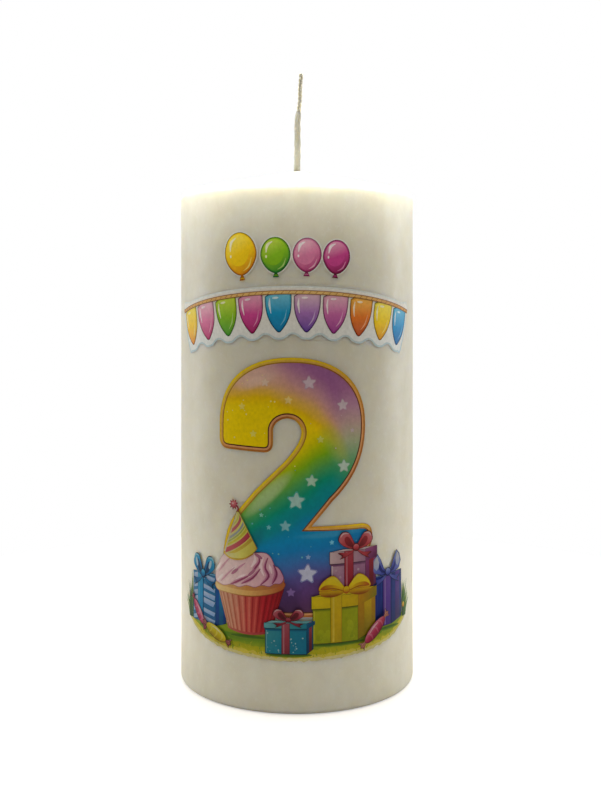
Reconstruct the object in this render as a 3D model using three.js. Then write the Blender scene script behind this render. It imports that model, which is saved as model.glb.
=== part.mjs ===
// A numbered birthday pillar candle: a pressed wax core in a dipped wax coat, a braided cotton wick
// crimped into a tin sustainer, and decorations cut from printed transfer film laid on the wax.
// Millimetres, +Z up. The origin is the centre of the underside, and the decorated side faces -Y.
import * as THREE from 'three';
import { mergeVertices } from 'three/addons/utils/BufferGeometryUtils.js';

// Driving dimensions of the candle.
const CANDLE_RADIUS = 30;
const WAX_HEIGHT = 130;
const SKIN = 1.5; // thickness of the dipped coat
const GAP = 0.3; // room left between neighbouring pieces
const SHOULDER_RADIUS = 2.4; // rounding between the side and the top
const TOP_SLOPE = THREE.MathUtils.degToRad(11); // the top rises gently to the wick
const FOOT_RADIUS = 1.2; // rounding at the lower edge
const COLLAR_RADIUS = 3; // wax drawn up around the wick
const COLLAR_RISE = 0.5;
const WAX_FACETS = 72; // flats around the wax
const SMALL_FACETS = 36; // flats around the plug and the sustainer
const ARC_STEPS = 4; // flats along each rounding

// Wick and sustainer.
const WICK_WIDTH = 2;
const WICK_THICKNESS = 1.3;
const WICK_EXPOSED = 26;
const WICK_LEAN = 1.1; // how far its tip leans to the right
const WICK_SIDES = 8;
const WICK_STEPS = 44;
const BORE_RADIUS = 1.5;
const SUSTAINER_RADIUS = 9;
const TIN = 0.4;
const NECK_RADIUS = 1.9;
const NECK_HEIGHT = 6;
const PLUG_DEPTH = 1.7;

// Printed film: each cut-out is a thin shell bent round the wax, in one of five layers.
const FILM = 0.15;
const FILM_PITCH = 0.3; // film thickness and the room under it
const FLAT_WIDTH = 3; // width of the flats a film is bent into
const SNAP = 0.03; // points this near to the edge of a flat, or to each other, are joined
const CURVE_STEPS = 4; // flats along each drawn curve
const RIM = 1.3; // width of the gold rim round the numeral

const COLOURS = {
  wax: 0xf2ecdc,
  core: 0xf7f3e6,
  cotton: 0xcfc9ac,
  tin: 0xb9bcc0,
  gold: 0xe0a53a,
  teal: 0x1f9fb0,
  grass: 0x7fae2c,
  string: 0xb07a3c,
  halo: 0xeef2ee,
  yellow: 0xf2d21c,
  orange: 0xf08a2c,
  green: 0x7cc02e,
  pink: 0xf08fb8,
  magenta: 0xc93a7c,
  blue: 0x1f8fd0,
  violet: 0x6a49b4,
  lilac: 0xb86fc0,
  red: 0xd23048,
};

function material(colour, roughness = 0.45, metalness = 0) {
  return new THREE.MeshStandardMaterial({ color: colour, roughness, metalness });
}

function named(name, geometry, finish) {
  const mesh = new THREE.Mesh(geometry, finish);
  mesh.name = name;
  return mesh;
}

// --- Turned pieces -----------------------------------------------------------------------------

// Points of an arc in the radius-height plane, angles in degrees from the outward direction.
function arc(centreRadius, centreHeight, radius, fromDegrees, toDegrees) {
  const points = [];
  for (let i = 0; i <= ARC_STEPS; i++) {
    const angle = THREE.MathUtils.degToRad(fromDegrees + ((toDegrees - fromDegrees) * i) / ARC_STEPS);
    points.push([centreRadius + radius * Math.cos(angle), centreHeight + radius * Math.sin(angle)]);
  }
  return points;
}

// A closed outline of [radius, height] pairs, turned about the Z axis.
function turned(outline, facets = WAX_FACETS) {
  const points = [...outline, outline[0]].map(([radius, height]) => new THREE.Vector2(radius, height));
  return new THREE.LatheGeometry(points, facets).rotateX(Math.PI / 2);
}

const SHOULDER_CENTRE_RADIUS = CANDLE_RADIUS - SHOULDER_RADIUS;
const SLOPE_START_RADIUS = SHOULDER_CENTRE_RADIUS + SHOULDER_RADIUS * Math.sin(TOP_SLOPE);
const SHOULDER_HEIGHT =
  WAX_HEIGHT -
  COLLAR_RISE -
  (SLOPE_START_RADIUS - COLLAR_RADIUS) * Math.tan(TOP_SLOPE) -
  SHOULDER_RADIUS * Math.cos(TOP_SLOPE);

// The side, shoulder and sloping top of the wax, moved inwards by depth, from the foot to the wick.
function waxTop(depth, innerRadius) {
  const slopeDegrees = THREE.MathUtils.radToDeg(TOP_SLOPE);
  const radius = SHOULDER_RADIUS - depth;
  const shoulder = arc(SHOULDER_CENTRE_RADIUS, SHOULDER_HEIGHT, radius, 0, 90 - slopeDegrees);
  const [edgeRadius, edgeHeight] = shoulder.at(-1);
  const riseTo = (reach) => edgeHeight + (edgeRadius - reach) * Math.tan(TOP_SLOPE);
  return { shoulder, riseTo, end: [innerRadius, riseTo(innerRadius)] };
}

function dippedCoat() {
  const outer = waxTop(0, BORE_RADIUS);
  const inner = waxTop(SKIN, BORE_RADIUS);
  return turned([
    [CANDLE_RADIUS - SKIN, 0],
    ...arc(CANDLE_RADIUS - FOOT_RADIUS, FOOT_RADIUS, FOOT_RADIUS, -90, 0),
    ...outer.shoulder,
    [COLLAR_RADIUS, outer.riseTo(COLLAR_RADIUS)],
    [(COLLAR_RADIUS + BORE_RADIUS) / 2, outer.riseTo(COLLAR_RADIUS) + COLLAR_RISE * 0.6],
    [BORE_RADIUS, WAX_HEIGHT],
    inner.end,
    ...inner.shoulder.reverse(),
  ]);
}

const NECK_POCKET_RADIUS = NECK_RADIUS + GAP;
const DISC_POCKET_RADIUS = SUSTAINER_RADIUS + GAP;
const DISC_HEIGHT = PLUG_DEPTH + GAP;
const DISC_POCKET_TOP = DISC_HEIGHT + TIN + GAP;
const NECK_POCKET_TOP = DISC_HEIGHT + NECK_HEIGHT + GAP;

function pressedCore() {
  const depth = SKIN + GAP;
  const outer = waxTop(depth, BORE_RADIUS);
  return turned([
    [DISC_POCKET_RADIUS, 0],
    [CANDLE_RADIUS - depth, 0],
    ...outer.shoulder,
    outer.end,
    [BORE_RADIUS, NECK_POCKET_TOP],
    [NECK_POCKET_RADIUS, NECK_POCKET_TOP],
    [NECK_POCKET_RADIUS, DISC_POCKET_TOP],
    [DISC_POCKET_RADIUS, DISC_POCKET_TOP],
  ]);
}

function sustainer() {
  const outline = [
    [NECK_RADIUS - TIN, DISC_HEIGHT],
    [SUSTAINER_RADIUS, DISC_HEIGHT],
    [SUSTAINER_RADIUS, DISC_HEIGHT + TIN],
    [NECK_RADIUS, DISC_HEIGHT + TIN],
    [NECK_RADIUS, DISC_HEIGHT + NECK_HEIGHT],
    [NECK_RADIUS - TIN, DISC_HEIGHT + NECK_HEIGHT],
  ];
  return turned(outline, SMALL_FACETS);
}

function basePlug() {
  const geometry = new THREE.CylinderGeometry(SUSTAINER_RADIUS, SUSTAINER_RADIUS, PLUG_DEPTH, SMALL_FACETS);
  return geometry.rotateX(Math.PI / 2).translate(0, 0, PLUG_DEPTH / 2);
}

// --- Wick --------------------------------------------------------------------------------------

function wick() {
  const section = new THREE.Shape();
  for (let i = 0; i < WICK_SIDES; i++) {
    const angle = (2 * Math.PI * i) / WICK_SIDES;
    const across = (WICK_THICKNESS / 2) * Math.cos(angle);
    const along = (WICK_WIDTH / 2) * Math.sin(angle);
    if (i === 0) section.moveTo(across, along);
    else section.lineTo(across, along);
  }
  section.closePath();
  // Straight through the wax, then a slight bow to the left before it leans to the right.
  const free = (share, sideways) => new THREE.Vector3(sideways, 0, WAX_HEIGHT + share * WICK_EXPOSED);
  const route = new THREE.CatmullRomCurve3([
    new THREE.Vector3(0, 0, DISC_HEIGHT),
    new THREE.Vector3(0, 0, WAX_HEIGHT / 2),
    free(-0.2, 0),
    free(0.1, 0.1),
    free(0.4, 0.1),
    free(0.65, WICK_LEAN / 2),
    free(0.85, WICK_LEAN * 0.9),
    free(1, WICK_LEAN),
  ]);
  return new THREE.ExtrudeGeometry(section, {
    steps: WICK_STEPS,
    bevelEnabled: false,
    extrudePath: route,
  });
}

// --- Printed film ------------------------------------------------------------------------------

// An outline's points, anticlockwise, with one wherever it crosses from one flat to the next.
function outlineOnFlats(shape) {
  const snapped = (x) => {
    const line = Math.round(x / FLAT_WIDTH) * FLAT_WIDTH;
    return Math.abs(x - line) < SNAP ? line : x;
  };
  const drawn = shape
    .getPoints(CURVE_STEPS)
    .map((point) => new THREE.Vector2(snapped(point.x), point.y))
    .filter((point, i, all) => point.distanceTo(all.at(i - 1)) > SNAP);
  if (THREE.ShapeUtils.isClockWise(drawn)) drawn.reverse();
  return drawn.flatMap((from, i) => {
    const to = drawn[(i + 1) % drawn.length];
    const [low, high] = from.x < to.x ? [from, to] : [to, from];
    const crossings = [];
    for (let x = (Math.floor(low.x / FLAT_WIDTH) + 1) * FLAT_WIDTH; x < high.x; x += FLAT_WIDTH) {
      const share = (x - low.x) / (high.x - low.x);
      crossings.push(new THREE.Vector2(x, low.y + share * (high.y - low.y)));
    }
    return [from, ...(low === from ? crossings : crossings.reverse())];
  });
}

// The runs of an outline that cross the flat whose left edge is at x.
function runsInFlat(outline, x) {
  const inFlat = (i) => {
    const middle = (outline.at(i).x + outline[(i + 1) % outline.length].x) / 2;
    return middle > x && middle < x + FLAT_WIDTH;
  };
  const starts = outline.map((_, i) => i).filter((i) => inFlat(i) && !inFlat(i - 1));
  if (starts.length === 0) return inFlat(0) ? [outline] : [];
  return starts.map((start) => {
    const run = [outline[start]];
    for (let i = start; inFlat(i % outline.length); i++) run.push(outline[(i + 1) % outline.length]);
    return run;
  });
}

// The areas an outline encloses within one flat, as closed loops. From the end of each run a loop
// follows the flat's edge, up the right one or down the left one, to where the next run starts.
function loopsInFlat(outline, x) {
  const open = runsInFlat(outline, x);
  const loops = [];
  while (open.length > 0) {
    const loop = open.shift();
    const first = loop[0];
    for (;;) {
      const end = loop.at(-1);
      if (end === first || end === undefined) break;
      const upwards = end.x > x ? 1 : -1;
      const beyond = (point) => point.x === end.x && (point.y - end.y) * upwards > 0;
      const nearest = (a, b) => (a.y - b.y) * upwards;
      const target = [first, ...open.map((run) => run[0])].filter(beyond).sort(nearest)[0];
      if (target === undefined) break;
      const between = outline.filter((point) => beyond(point) && (target.y - point.y) * upwards > 0);
      loop.push(...between.sort(nearest));
      if (target === first) break;
      loop.push(...open.splice(open.findIndex((run) => run[0] === target), 1)[0]);
    }
    if (loop.at(-1) === first) loop.pop();
    loops.push(loop);
  }
  return loops;
}

// A film cut to a flat shape and bent round the wax. Shape x is the distance round the wax from the
// front, to the right, and shape y is the height.
function film(shape, layer) {
  const outline = outlineOnFlats(shape);
  const outside = CANDLE_RADIUS + FILM_PITCH * layer;
  const positions = [];
  const add = (radius, ...points) => {
    for (const point of points) {
      const angle = point.x / CANDLE_RADIUS;
      positions.push(radius * Math.sin(angle), -radius * Math.cos(angle), point.y);
    }
  };
  const firstFlat = Math.floor(Math.min(...outline.map((point) => point.x)) / FLAT_WIDTH);
  const lastFlat = Math.ceil(Math.max(...outline.map((point) => point.x)) / FLAT_WIDTH);
  for (let flat = firstFlat; flat < lastFlat; flat++) {
    for (const loop of loopsInFlat(outline, flat * FLAT_WIDTH)) {
      for (const corners of THREE.ShapeUtils.triangulateShape(loop, [])) {
        const [a, b, c] = corners.map((corner) => loop[corner]);
        add(outside, a, b, c);
        add(outside - FILM, a, c, b);
      }
    }
  }
  outline.forEach((from, i) => {
    const to = outline[(i + 1) % outline.length];
    add(outside - FILM, from, to);
    add(outside, to, to, from);
    add(outside - FILM, from);
  });
  const bent = new THREE.BufferGeometry();
  bent.setAttribute('position', new THREE.Float32BufferAttribute(positions, 3));
  const closed = mergeVertices(bent, 1e-4);
  closed.computeVertexNormals();
  return closed;
}

// A closed anticlockwise outline moved inwards by a distance, with its corners kept square.
function inset(outline, distance) {
  const normal = (from, to) => new THREE.Vector2(from.y - to.y, to.x - from.x).normalize();
  return outline.map((point, i) => {
    const before = normal(outline.at(i - 1), point);
    const after = normal(point, outline[(i + 1) % outline.length]);
    const mitre = before.clone().add(after);
    return point.clone().add(mitre.multiplyScalar(distance / (1 + before.dot(after))));
  });
}

// The numeral 2 as one fat rounded stroke, anticlockwise, with its counter opening to the left.
const NUMERAL = { centre: -1.4, foot: 22.8, top: 83.2, halfWidth: 18.4, stroke: 14.2 };
const BAR_HEIGHT = 21.1; // from the numeral's foot to the upper edge of its bar
const ARM_DROP = 6.2; // from the widest part of the bowl down to the end of its arm
const BOWL_DROP = 16; // from the numeral's top down to the widest part of its bowl
const BOWL_SQUARENESS = 0.91; // 1 would be an ellipse, and less is squarer

function numeralOutline() {
  const { centre, foot, top, halfWidth, stroke } = NUMERAL;
  const left = centre - halfWidth;
  const right = centre + halfWidth;
  const bowl = top - BOWL_DROP;
  const arm = bowl - ARM_DROP;
  const bar = foot + BAR_HEIGHT;
  const counter = top - stroke;
  const outline = new THREE.Path();
  // The bar: a rounded box whose upper right corner is drawn out.
  outline.moveTo(left + 1.1, foot + 2.8);
  outline.quadraticCurveTo(left + 1.1, foot, left + 3.9, foot);
  outline.lineTo(right - 2.2, foot);
  outline.quadraticCurveTo(right + 0.6, foot, right + 0.6, foot + 2.8);
  outline.lineTo(right + 0.6, bar - 8);
  outline.bezierCurveTo(right + 0.6, bar - 6.4, right + 2.2, bar - 5.4, right + 2.2, bar - 3.4);
  outline.quadraticCurveTo(right + 2.2, bar + 0.3, right - 2, bar);
  outline.lineTo(centre + 4.8, bar);
  // The outside of the stroke, up to the bowl and over it.
  outline.lineTo(centre + 9.8, bar + 5.7);
  outline.bezierCurveTo(right - 2.8, bar + 10.9, right, bar + 16.3, right, bowl);
  const steps = CURVE_STEPS * 3;
  for (let i = 1; i < steps; i++) {
    const angle = (Math.PI * i) / steps;
    const across = Math.sign(Math.cos(angle)) * Math.abs(Math.cos(angle)) ** BOWL_SQUARENESS;
    outline.lineTo(centre + halfWidth * across, bowl + BOWL_DROP * Math.sin(angle) ** BOWL_SQUARENESS);
  }
  outline.lineTo(left, bowl);
  // The arm's round end.
  outline.lineTo(left, arm + 3.3);
  outline.quadraticCurveTo(left, arm + 0.5, left + 2.8, arm + 0.4);
  outline.lineTo(left + stroke - 2.2, arm);
  outline.quadraticCurveTo(left + stroke, arm + 0.1, left + stroke, arm + 2.4);
  // The counter, and the inside of the stroke down to the bar.
  outline.lineTo(left + stroke, bowl - 1.2);
  outline.bezierCurveTo(left + stroke, bowl + 0.6, left + stroke + 1.6, counter, centre - 0.8, counter);
  outline.bezierCurveTo(centre + 1.2, counter, centre + 2.4, bowl + 0.2, centre + 2.4, bowl - 1.4);
  outline.bezierCurveTo(centre + 2.4, bowl - 3.4, centre + 0.5, bowl - 6, centre - 1.7, bowl - 8.4);
  outline.lineTo(centre - 8.6, bowl - 15.1);
  outline.lineTo(left + 6.1, bar + 4);
  outline.bezierCurveTo(left + 2.8, bar + 0.7, left + 1.1, bar - 3.9, left + 1.1, bar - 9.9);
  const points = outline.getPoints(CURVE_STEPS * 1.5);
  return points.filter((point, i) => point.distanceTo(points.at(i - 1)) > 0.05);
}

function numeralFilms(group) {
  const outline = numeralOutline();
  group.add(
    named('numeral_rim_film', film(new THREE.Shape(outline), 1), material(COLOURS.gold)),
    named('numeral_film', film(new THREE.Shape(inset(outline, RIM)), 2), material(COLOURS.teal)),
  );
}

// An arch of pennants on a string, in place of a greeting.
const ARCH_STEPS = 12;
const GARLAND = {
  centre: -1,
  top: 98.4,
  sag: 0.0038,
  pitch: 6.9,
  flagWidth: 6.3,
  flagHeight: 9.4,
  string: 0.9,
  margin: 1.5, // the pale backing shows this far round the pennants
};
const PENNANT_COLOURS = [
  'yellow', 'pink', 'green', 'magenta', 'blue',
  'violet', 'lilac', 'orange', 'yellow', 'blue',
];

function garlandHeight(around) {
  return GARLAND.top - GARLAND.sag * (around - GARLAND.centre) ** 2;
}

function garlandFilms(group) {
  const { centre, pitch, flagWidth, flagHeight, string, margin } = GARLAND;
  PENNANT_COLOURS.forEach((colour, i) => {
    const middle = centre + (i - (PENNANT_COLOURS.length - 1) / 2) * pitch;
    const tilt = Math.atan(-2 * GARLAND.sag * (middle - centre));
    const place = (across, down) =>
      new THREE.Vector2(across, down)
        .rotateAround(new THREE.Vector2(), tilt)
        .add(new THREE.Vector2(middle, garlandHeight(middle)));
    const half = flagWidth / 2;
    const corners = [
      [-half, 0],
      [-half, -flagHeight * 0.55],
      [-half * 0.55, -flagHeight * 0.86],
      [0, -flagHeight],
      [half * 0.55, -flagHeight * 0.86],
      [half, -flagHeight * 0.55],
      [half, 0],
    ];
    const shape = new THREE.Shape(corners.map(([x, y]) => place(x, y)));
    const number = String(i + 1).padStart(2, '0');
    group.add(named(`pennant_film_${number}`, film(shape, 2), material(COLOURS[colour])));
  });
  const reach = (pitch * PENNANT_COLOURS.length) / 2 + 0.6;
  const arch = (end, above, below) => {
    const upper = [];
    const lower = [];
    for (let i = -ARCH_STEPS; i <= ARCH_STEPS; i++) {
      const x = centre + (end * i) / ARCH_STEPS;
      upper.push(new THREE.Vector2(x, garlandHeight(x) + above));
      lower.push(new THREE.Vector2(x, garlandHeight(x) - below));
    }
    return new THREE.Shape([...lower, ...upper.reverse()]);
  };
  const backing = arch(reach + margin, margin, flagHeight + margin);
  group.add(
    named('garland_backing_film', film(backing, 1), material(COLOURS.halo)),
    named('garland_string_film', film(arch(reach, string / 2, string / 2), 3), material(COLOURS.string)),
  );
}

// Balloons over the arch: distance round the wax, foot height, width and height of each.
const BALLOONS = [
  { name: 'yellow', around: -13.2, foot: 101.2, width: 8.6, height: 11.4 },
  { name: 'green', around: -4.9, foot: 101.9, width: 7.2, height: 9.4 },
  { name: 'pink', around: 2.2, foot: 102.1, width: 6.8, height: 9 },
  { name: 'magenta', around: 9, foot: 101.7, width: 6.8, height: 9 },
];

function balloonFilms(group) {
  for (const { name, around, foot, width, height } of BALLOONS) {
    const at = (across, up) => [around + (across * width) / 2, foot + up * height];
    const shape = new THREE.Shape();
    shape.moveTo(...at(-0.25, 0));
    shape.lineTo(...at(0.25, 0));
    shape.lineTo(...at(0.1, 0.1));
    shape.bezierCurveTo(...at(0.7, 0.22), ...at(1, 0.4), ...at(1, 0.6));
    shape.bezierCurveTo(...at(1, 0.86), ...at(0.6, 1), ...at(0, 1));
    shape.bezierCurveTo(...at(-0.6, 1), ...at(-1, 0.86), ...at(-1, 0.6));
    shape.bezierCurveTo(...at(-1, 0.4), ...at(-0.7, 0.22), ...at(-0.1, 0.1));
    group.add(named(`balloon_${name}_film`, film(shape, 1), material(COLOURS[name])));
  }
}

// Gift boxes: a front face, a side face to its right that rises away, a lid and a bow.
const GIFTS = [
  { name: 'blue', left: -30, foot: 18.8, front: 9, side: 3.2, height: 11.8, rise: 1, bow: 4.4 },
  { name: 'violet', left: 18.2, foot: 18.4, front: 7.7, side: 4.5, height: 12, rise: 0.9, bow: 4.8 },
  { name: 'red', left: 7.9, foot: 28.2, front: 9, side: 3.2, height: 9.6, rise: 0.9, bow: 4.2 },
  { name: 'yellow', left: 3.6, foot: 16.6, front: 11.1, side: 5.1, height: 11.1, rise: 2, bow: 5.6 },
  { name: 'teal', left: -7.4, foot: 14.3, front: 9.6, side: 1.6, height: 7.2, rise: 1.2, bow: 3.2 },
];
const GIFT_LAYERS = { blue: 2, violet: 2, red: 3, yellow: 4, teal: 5 };

function giftFilms(group) {
  for (const { name, left, foot, front, side, height, rise, bow } of GIFTS) {
    const corner = left + front;
    const right = corner + side;
    const top = foot + height;
    const knot = left + (front + side) / 2;
    const loop = Math.min(front, 9) * 0.5;
    const at = (across, up) => [knot + across * loop, top + up * bow];
    const shape = new THREE.Shape();
    shape.moveTo(left, foot);
    shape.lineTo(corner, foot);
    shape.lineTo(right, foot + rise);
    shape.lineTo(right, top + rise * 0.5);
    shape.lineTo(...at(0.6, 0.07));
    shape.bezierCurveTo(...at(1.2, 0.5), ...at(1, 1.2), ...at(0, 0.45));
    shape.bezierCurveTo(...at(-1, 1.2), ...at(-1.2, 0.5), ...at(-0.6, 0.07));
    shape.lineTo(left, top);
    group.add(named(`gift_${name}_film`, film(shape, GIFT_LAYERS[name]), material(COLOURS[name])));
  }
}

// A cupcake: a pleated case with swirled icing, and a party hat standing on it.
const CUPCAKE = { middle: -11.6, foot: 18.2, caseTop: 28.6, footHalf: 5.5, topHalf: 8.7, icingTop: 37 };
const HAT = { lean: -3, halfWidth: 4.6, foot: 35.6, tip: 48.4, pompom: 1.2 };

function cupcakeFilms(group) {
  const { middle, foot, caseTop, footHalf, topHalf, icingTop } = CUPCAKE;
  const paper = new THREE.Shape();
  paper.moveTo(middle - footHalf, foot + 0.8);
  paper.quadraticCurveTo(middle, foot - 0.8, middle + footHalf, foot + 0.8);
  paper.lineTo(middle + topHalf, caseTop);
  paper.lineTo(middle - topHalf, caseTop);
  group.add(named('cupcake_case_film', film(paper, 3), material(COLOURS.magenta)));

  const icing = new THREE.Shape();
  const base = caseTop + GAP;
  const at = (across, up) => [middle + across * topHalf, base + up * (icingTop - base)];
  icing.moveTo(...at(-1, 0));
  icing.lineTo(...at(1, 0));
  icing.bezierCurveTo(...at(1.07, 0.4), ...at(0.73, 0.7), ...at(0.53, 1));
  icing.quadraticCurveTo(...at(0, 1.17), ...at(-0.53, 1));
  icing.bezierCurveTo(...at(-0.73, 0.7), ...at(-1.07, 0.4), ...at(-1, 0));
  group.add(named('cupcake_icing_film', film(icing, 3), material(COLOURS.pink)));

  const tip = middle + HAT.lean;
  const hat = new THREE.Shape();
  hat.moveTo(middle - HAT.halfWidth - 1, HAT.foot + 1.2);
  hat.quadraticCurveTo(middle, HAT.foot - 1.4, middle + HAT.halfWidth - 0.4, HAT.foot + 0.8);
  hat.lineTo(tip + 0.7, HAT.tip - HAT.pompom);
  hat.absarc(tip, HAT.tip, HAT.pompom, -0.9, Math.PI + 0.9, false);
  group.add(named('party_hat_film', film(hat, 4), material(COLOURS.yellow)));
}

// Wrapped sweets: a spindle body with a fanned twist at both ends.
const SWEETS = [
  { name: 'pink', around: -27.2, height: 21.1, length: 9.4, body: 2.5, turn: -52, layer: 4 },
  { name: 'yellow', around: -20.7, height: 17.4, length: 9.8, body: 3, turn: -25, layer: 5 },
  { name: 'magenta', around: 19.5, height: 18.3, length: 11, body: 3, turn: 41, layer: 5 },
];

function sweetFilms(group) {
  for (const { name, around, height, length, body, turn, layer } of SWEETS) {
    const half = length / 2;
    const centre = new THREE.Vector2(around, height);
    const corners = [
      [-half, -body * 0.4],
      [-half * 0.66, -body * 0.1],
      [-half * 0.3, -body * 0.46],
      [half * 0.3, -body * 0.46],
      [half * 0.66, -body * 0.1],
      [half, -body * 0.4],
      [half * 0.92, 0],
      [half, body * 0.4],
      [half * 0.66, body * 0.1],
      [half * 0.3, body * 0.46],
      [-half * 0.3, body * 0.46],
      [-half * 0.66, body * 0.1],
      [-half, body * 0.4],
      [-half * 0.92, 0],
    ];
    const angle = THREE.MathUtils.degToRad(turn);
    const points = corners.map(([x, y]) =>
      new THREE.Vector2(x, y).rotateAround(new THREE.Vector2(), angle).add(centre),
    );
    group.add(named(`sweet_${name}_film`, film(new THREE.Shape(points), layer), material(COLOURS[name])));
  }
}

// The lawn the gifts stand on, with a tuft of blades at each end.
const LAWN = { centre: 0.4, halfWidth: 34, foot: 12.4, ends: 21.5, top: 21.6, bladeTop: 30 };

function lawnFilm(group) {
  const { centre, halfWidth, foot, ends, top, bladeTop } = LAWN;
  const at = (across, height) => [centre + across * halfWidth, height];
  const shape = new THREE.Shape();
  shape.moveTo(...at(-1, ends));
  shape.bezierCurveTo(...at(-0.9, foot + 2), ...at(-0.4, foot), ...at(0, foot));
  shape.bezierCurveTo(...at(0.4, foot), ...at(0.9, foot + 2), ...at(1, ends));
  const blades = 4;
  const tuft = 4.6;
  for (let i = 0; i < blades; i++) {
    const x = centre + halfWidth - (tuft * i) / blades;
    shape.lineTo(x + 0.8, bladeTop - 1.4 * i);
    shape.lineTo(x - tuft / blades, top);
  }
  for (let i = blades - 1; i >= 0; i--) {
    const x = centre - halfWidth + (tuft * i) / blades;
    shape.lineTo(x + tuft / blades, top);
    shape.lineTo(x - 0.8, bladeTop - 1.4 * i);
  }
  group.add(named('lawn_film', film(shape, 1), material(COLOURS.grass)));
}

// --- Assembly ----------------------------------------------------------------------------------

const candle = new THREE.Group();
candle.add(
  named('wax_core', pressedCore(), material(COLOURS.core, 0.55)),
  named('wax_overdip', dippedCoat(), material(COLOURS.wax, 0.35)),
  named('wick_braid', wick(), material(COLOURS.cotton, 0.8)),
  named('wick_sustainer', sustainer(), material(COLOURS.tin, 0.35, 1)),
  named('base_plug', basePlug(), material(COLOURS.core, 0.5)),
);
numeralFilms(candle);
garlandFilms(candle);
balloonFilms(candle);
giftFilms(candle);
cupcakeFilms(candle);
sweetFilms(candle);
lawnFilm(candle);

export default candle;
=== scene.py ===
"""A numbered birthday pillar candle: the looks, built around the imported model.

Lengths in the named values are millimetres, and MM turns them into metres. A place on the printed film is
(x, y): x is the distance round the wax from the front, to the right, and y is the height.
"""

import math
import random
from typing import NamedTuple

import bmesh
import bpy
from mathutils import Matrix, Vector, noise


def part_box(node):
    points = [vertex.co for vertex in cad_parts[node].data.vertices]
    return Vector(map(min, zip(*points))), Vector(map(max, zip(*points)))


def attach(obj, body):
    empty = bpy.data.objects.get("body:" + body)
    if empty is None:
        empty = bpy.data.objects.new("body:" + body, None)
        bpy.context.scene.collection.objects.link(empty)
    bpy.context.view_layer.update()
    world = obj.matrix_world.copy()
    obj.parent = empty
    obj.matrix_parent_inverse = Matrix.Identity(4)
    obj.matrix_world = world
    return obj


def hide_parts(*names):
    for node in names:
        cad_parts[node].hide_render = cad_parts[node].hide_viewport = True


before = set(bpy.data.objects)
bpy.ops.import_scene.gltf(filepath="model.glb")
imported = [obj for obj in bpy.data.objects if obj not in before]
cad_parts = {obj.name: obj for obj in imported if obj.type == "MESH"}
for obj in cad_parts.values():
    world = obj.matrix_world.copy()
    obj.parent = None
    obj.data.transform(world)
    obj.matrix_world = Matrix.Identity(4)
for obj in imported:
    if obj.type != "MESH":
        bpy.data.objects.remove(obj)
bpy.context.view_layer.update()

MM = 0.001
wax_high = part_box("wax_overdip")[1]
RADIUS = wax_high.x / MM
WAX_TOP = wax_high.z / MM
WICK_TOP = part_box("wick_braid")[1].z / MM

# Printed film: thin closed cut-outs, one above another, on levels that run from 0 to 40. Films that cross
# lie on levels of their own, so that no layers touch.
FILM_START = 0.05  # the lowest layer's distance from the wax
INK = 0.01  # thickness of one layer
LEVEL = 0.02  # from one layer to the next
STRIP = 1.0  # width of the flats that a layer is bent into


# --- Scene

def link(obj):
    """Puts an object in the scene and returns it."""
    bpy.context.scene.collection.objects.link(obj)
    return obj


CAMERA_DISTANCE = 9.333 * RADIUS * MM
CAMERA_HEIGHT = 0.734 * WAX_TOP * MM


def make_camera():
    """Level with the upper third of the wax and close to it, as a table-top product shot is."""
    data = bpy.data.cameras.new("camera")
    data.sensor_width, data.lens = 36, 48.4
    data.shift_x, data.shift_y = 0.0044, -0.11875
    data.clip_start = 0.01
    camera = link(bpy.data.objects.new("camera", data))
    camera.location = (0, -CAMERA_DISTANCE, CAMERA_HEIGHT)
    camera.rotation_euler = (math.radians(90), 0, 0)
    bpy.context.scene.camera = camera


def area_light(name, place, target, size, power):
    """A rectangular lamp at a place, aimed at a target. Its size is its width and height."""
    data = bpy.data.lights.new(name, "AREA")
    data.shape = "RECTANGLE"
    data.size, data.size_y = size
    data.energy = power
    lamp = link(bpy.data.objects.new(name, data))
    lamp.location = place
    lamp.rotation_euler = (Vector(target) - Vector(place)).to_track_quat("-Z", "Y").to_euler()
    return lamp


def make_lights():
    """A soft lamp overhead, one at each side behind the candle, and the ring."""
    middle = (0, 0, 0.5 * WAX_TOP * MM)
    top = area_light("top_softbox", (0, 0.01, 0.27), (0, 0.01, 0), (0.1, 0.1), 0.55)
    top.visible_camera = False
    area_light("left_edge", (-0.5, 0.16, 0.2), middle, (0.2, 0.5), 0.86)
    area_light("right_edge", (0.5, 0.16, 0.2), middle, (0.2, 0.5), 0.96)
    make_ring_lamp(radius=RADIUS + 7, height=WAX_TOP, thickness=1.0, strength=10.5)


def make_ring_lamp(radius, height, thickness, strength):
    """A slim ring of light round the shoulder, kept out of sight, that whitens the top of the wax."""
    profile = arc(radius, height, thickness, 0, 300, 5)
    mesh = bpy.data.meshes.new("ring_lamp")
    vertices, faces = turned(profile, 64)
    mesh.from_pydata(vertices, [], faces)
    lamp = link(bpy.data.objects.new("ring_lamp", mesh))
    lamp.visible_camera = lamp.visible_glossy = lamp.visible_shadow = False
    n = Nodes("ring_lamp")
    n.shader.inputs["Emission Strength"].default_value = strength
    mesh.materials.append(n.finish(plain={"Base Color": (0, 0, 0, 1), "Emission Color": (1, 0.98, 0.93, 1)}))


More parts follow.
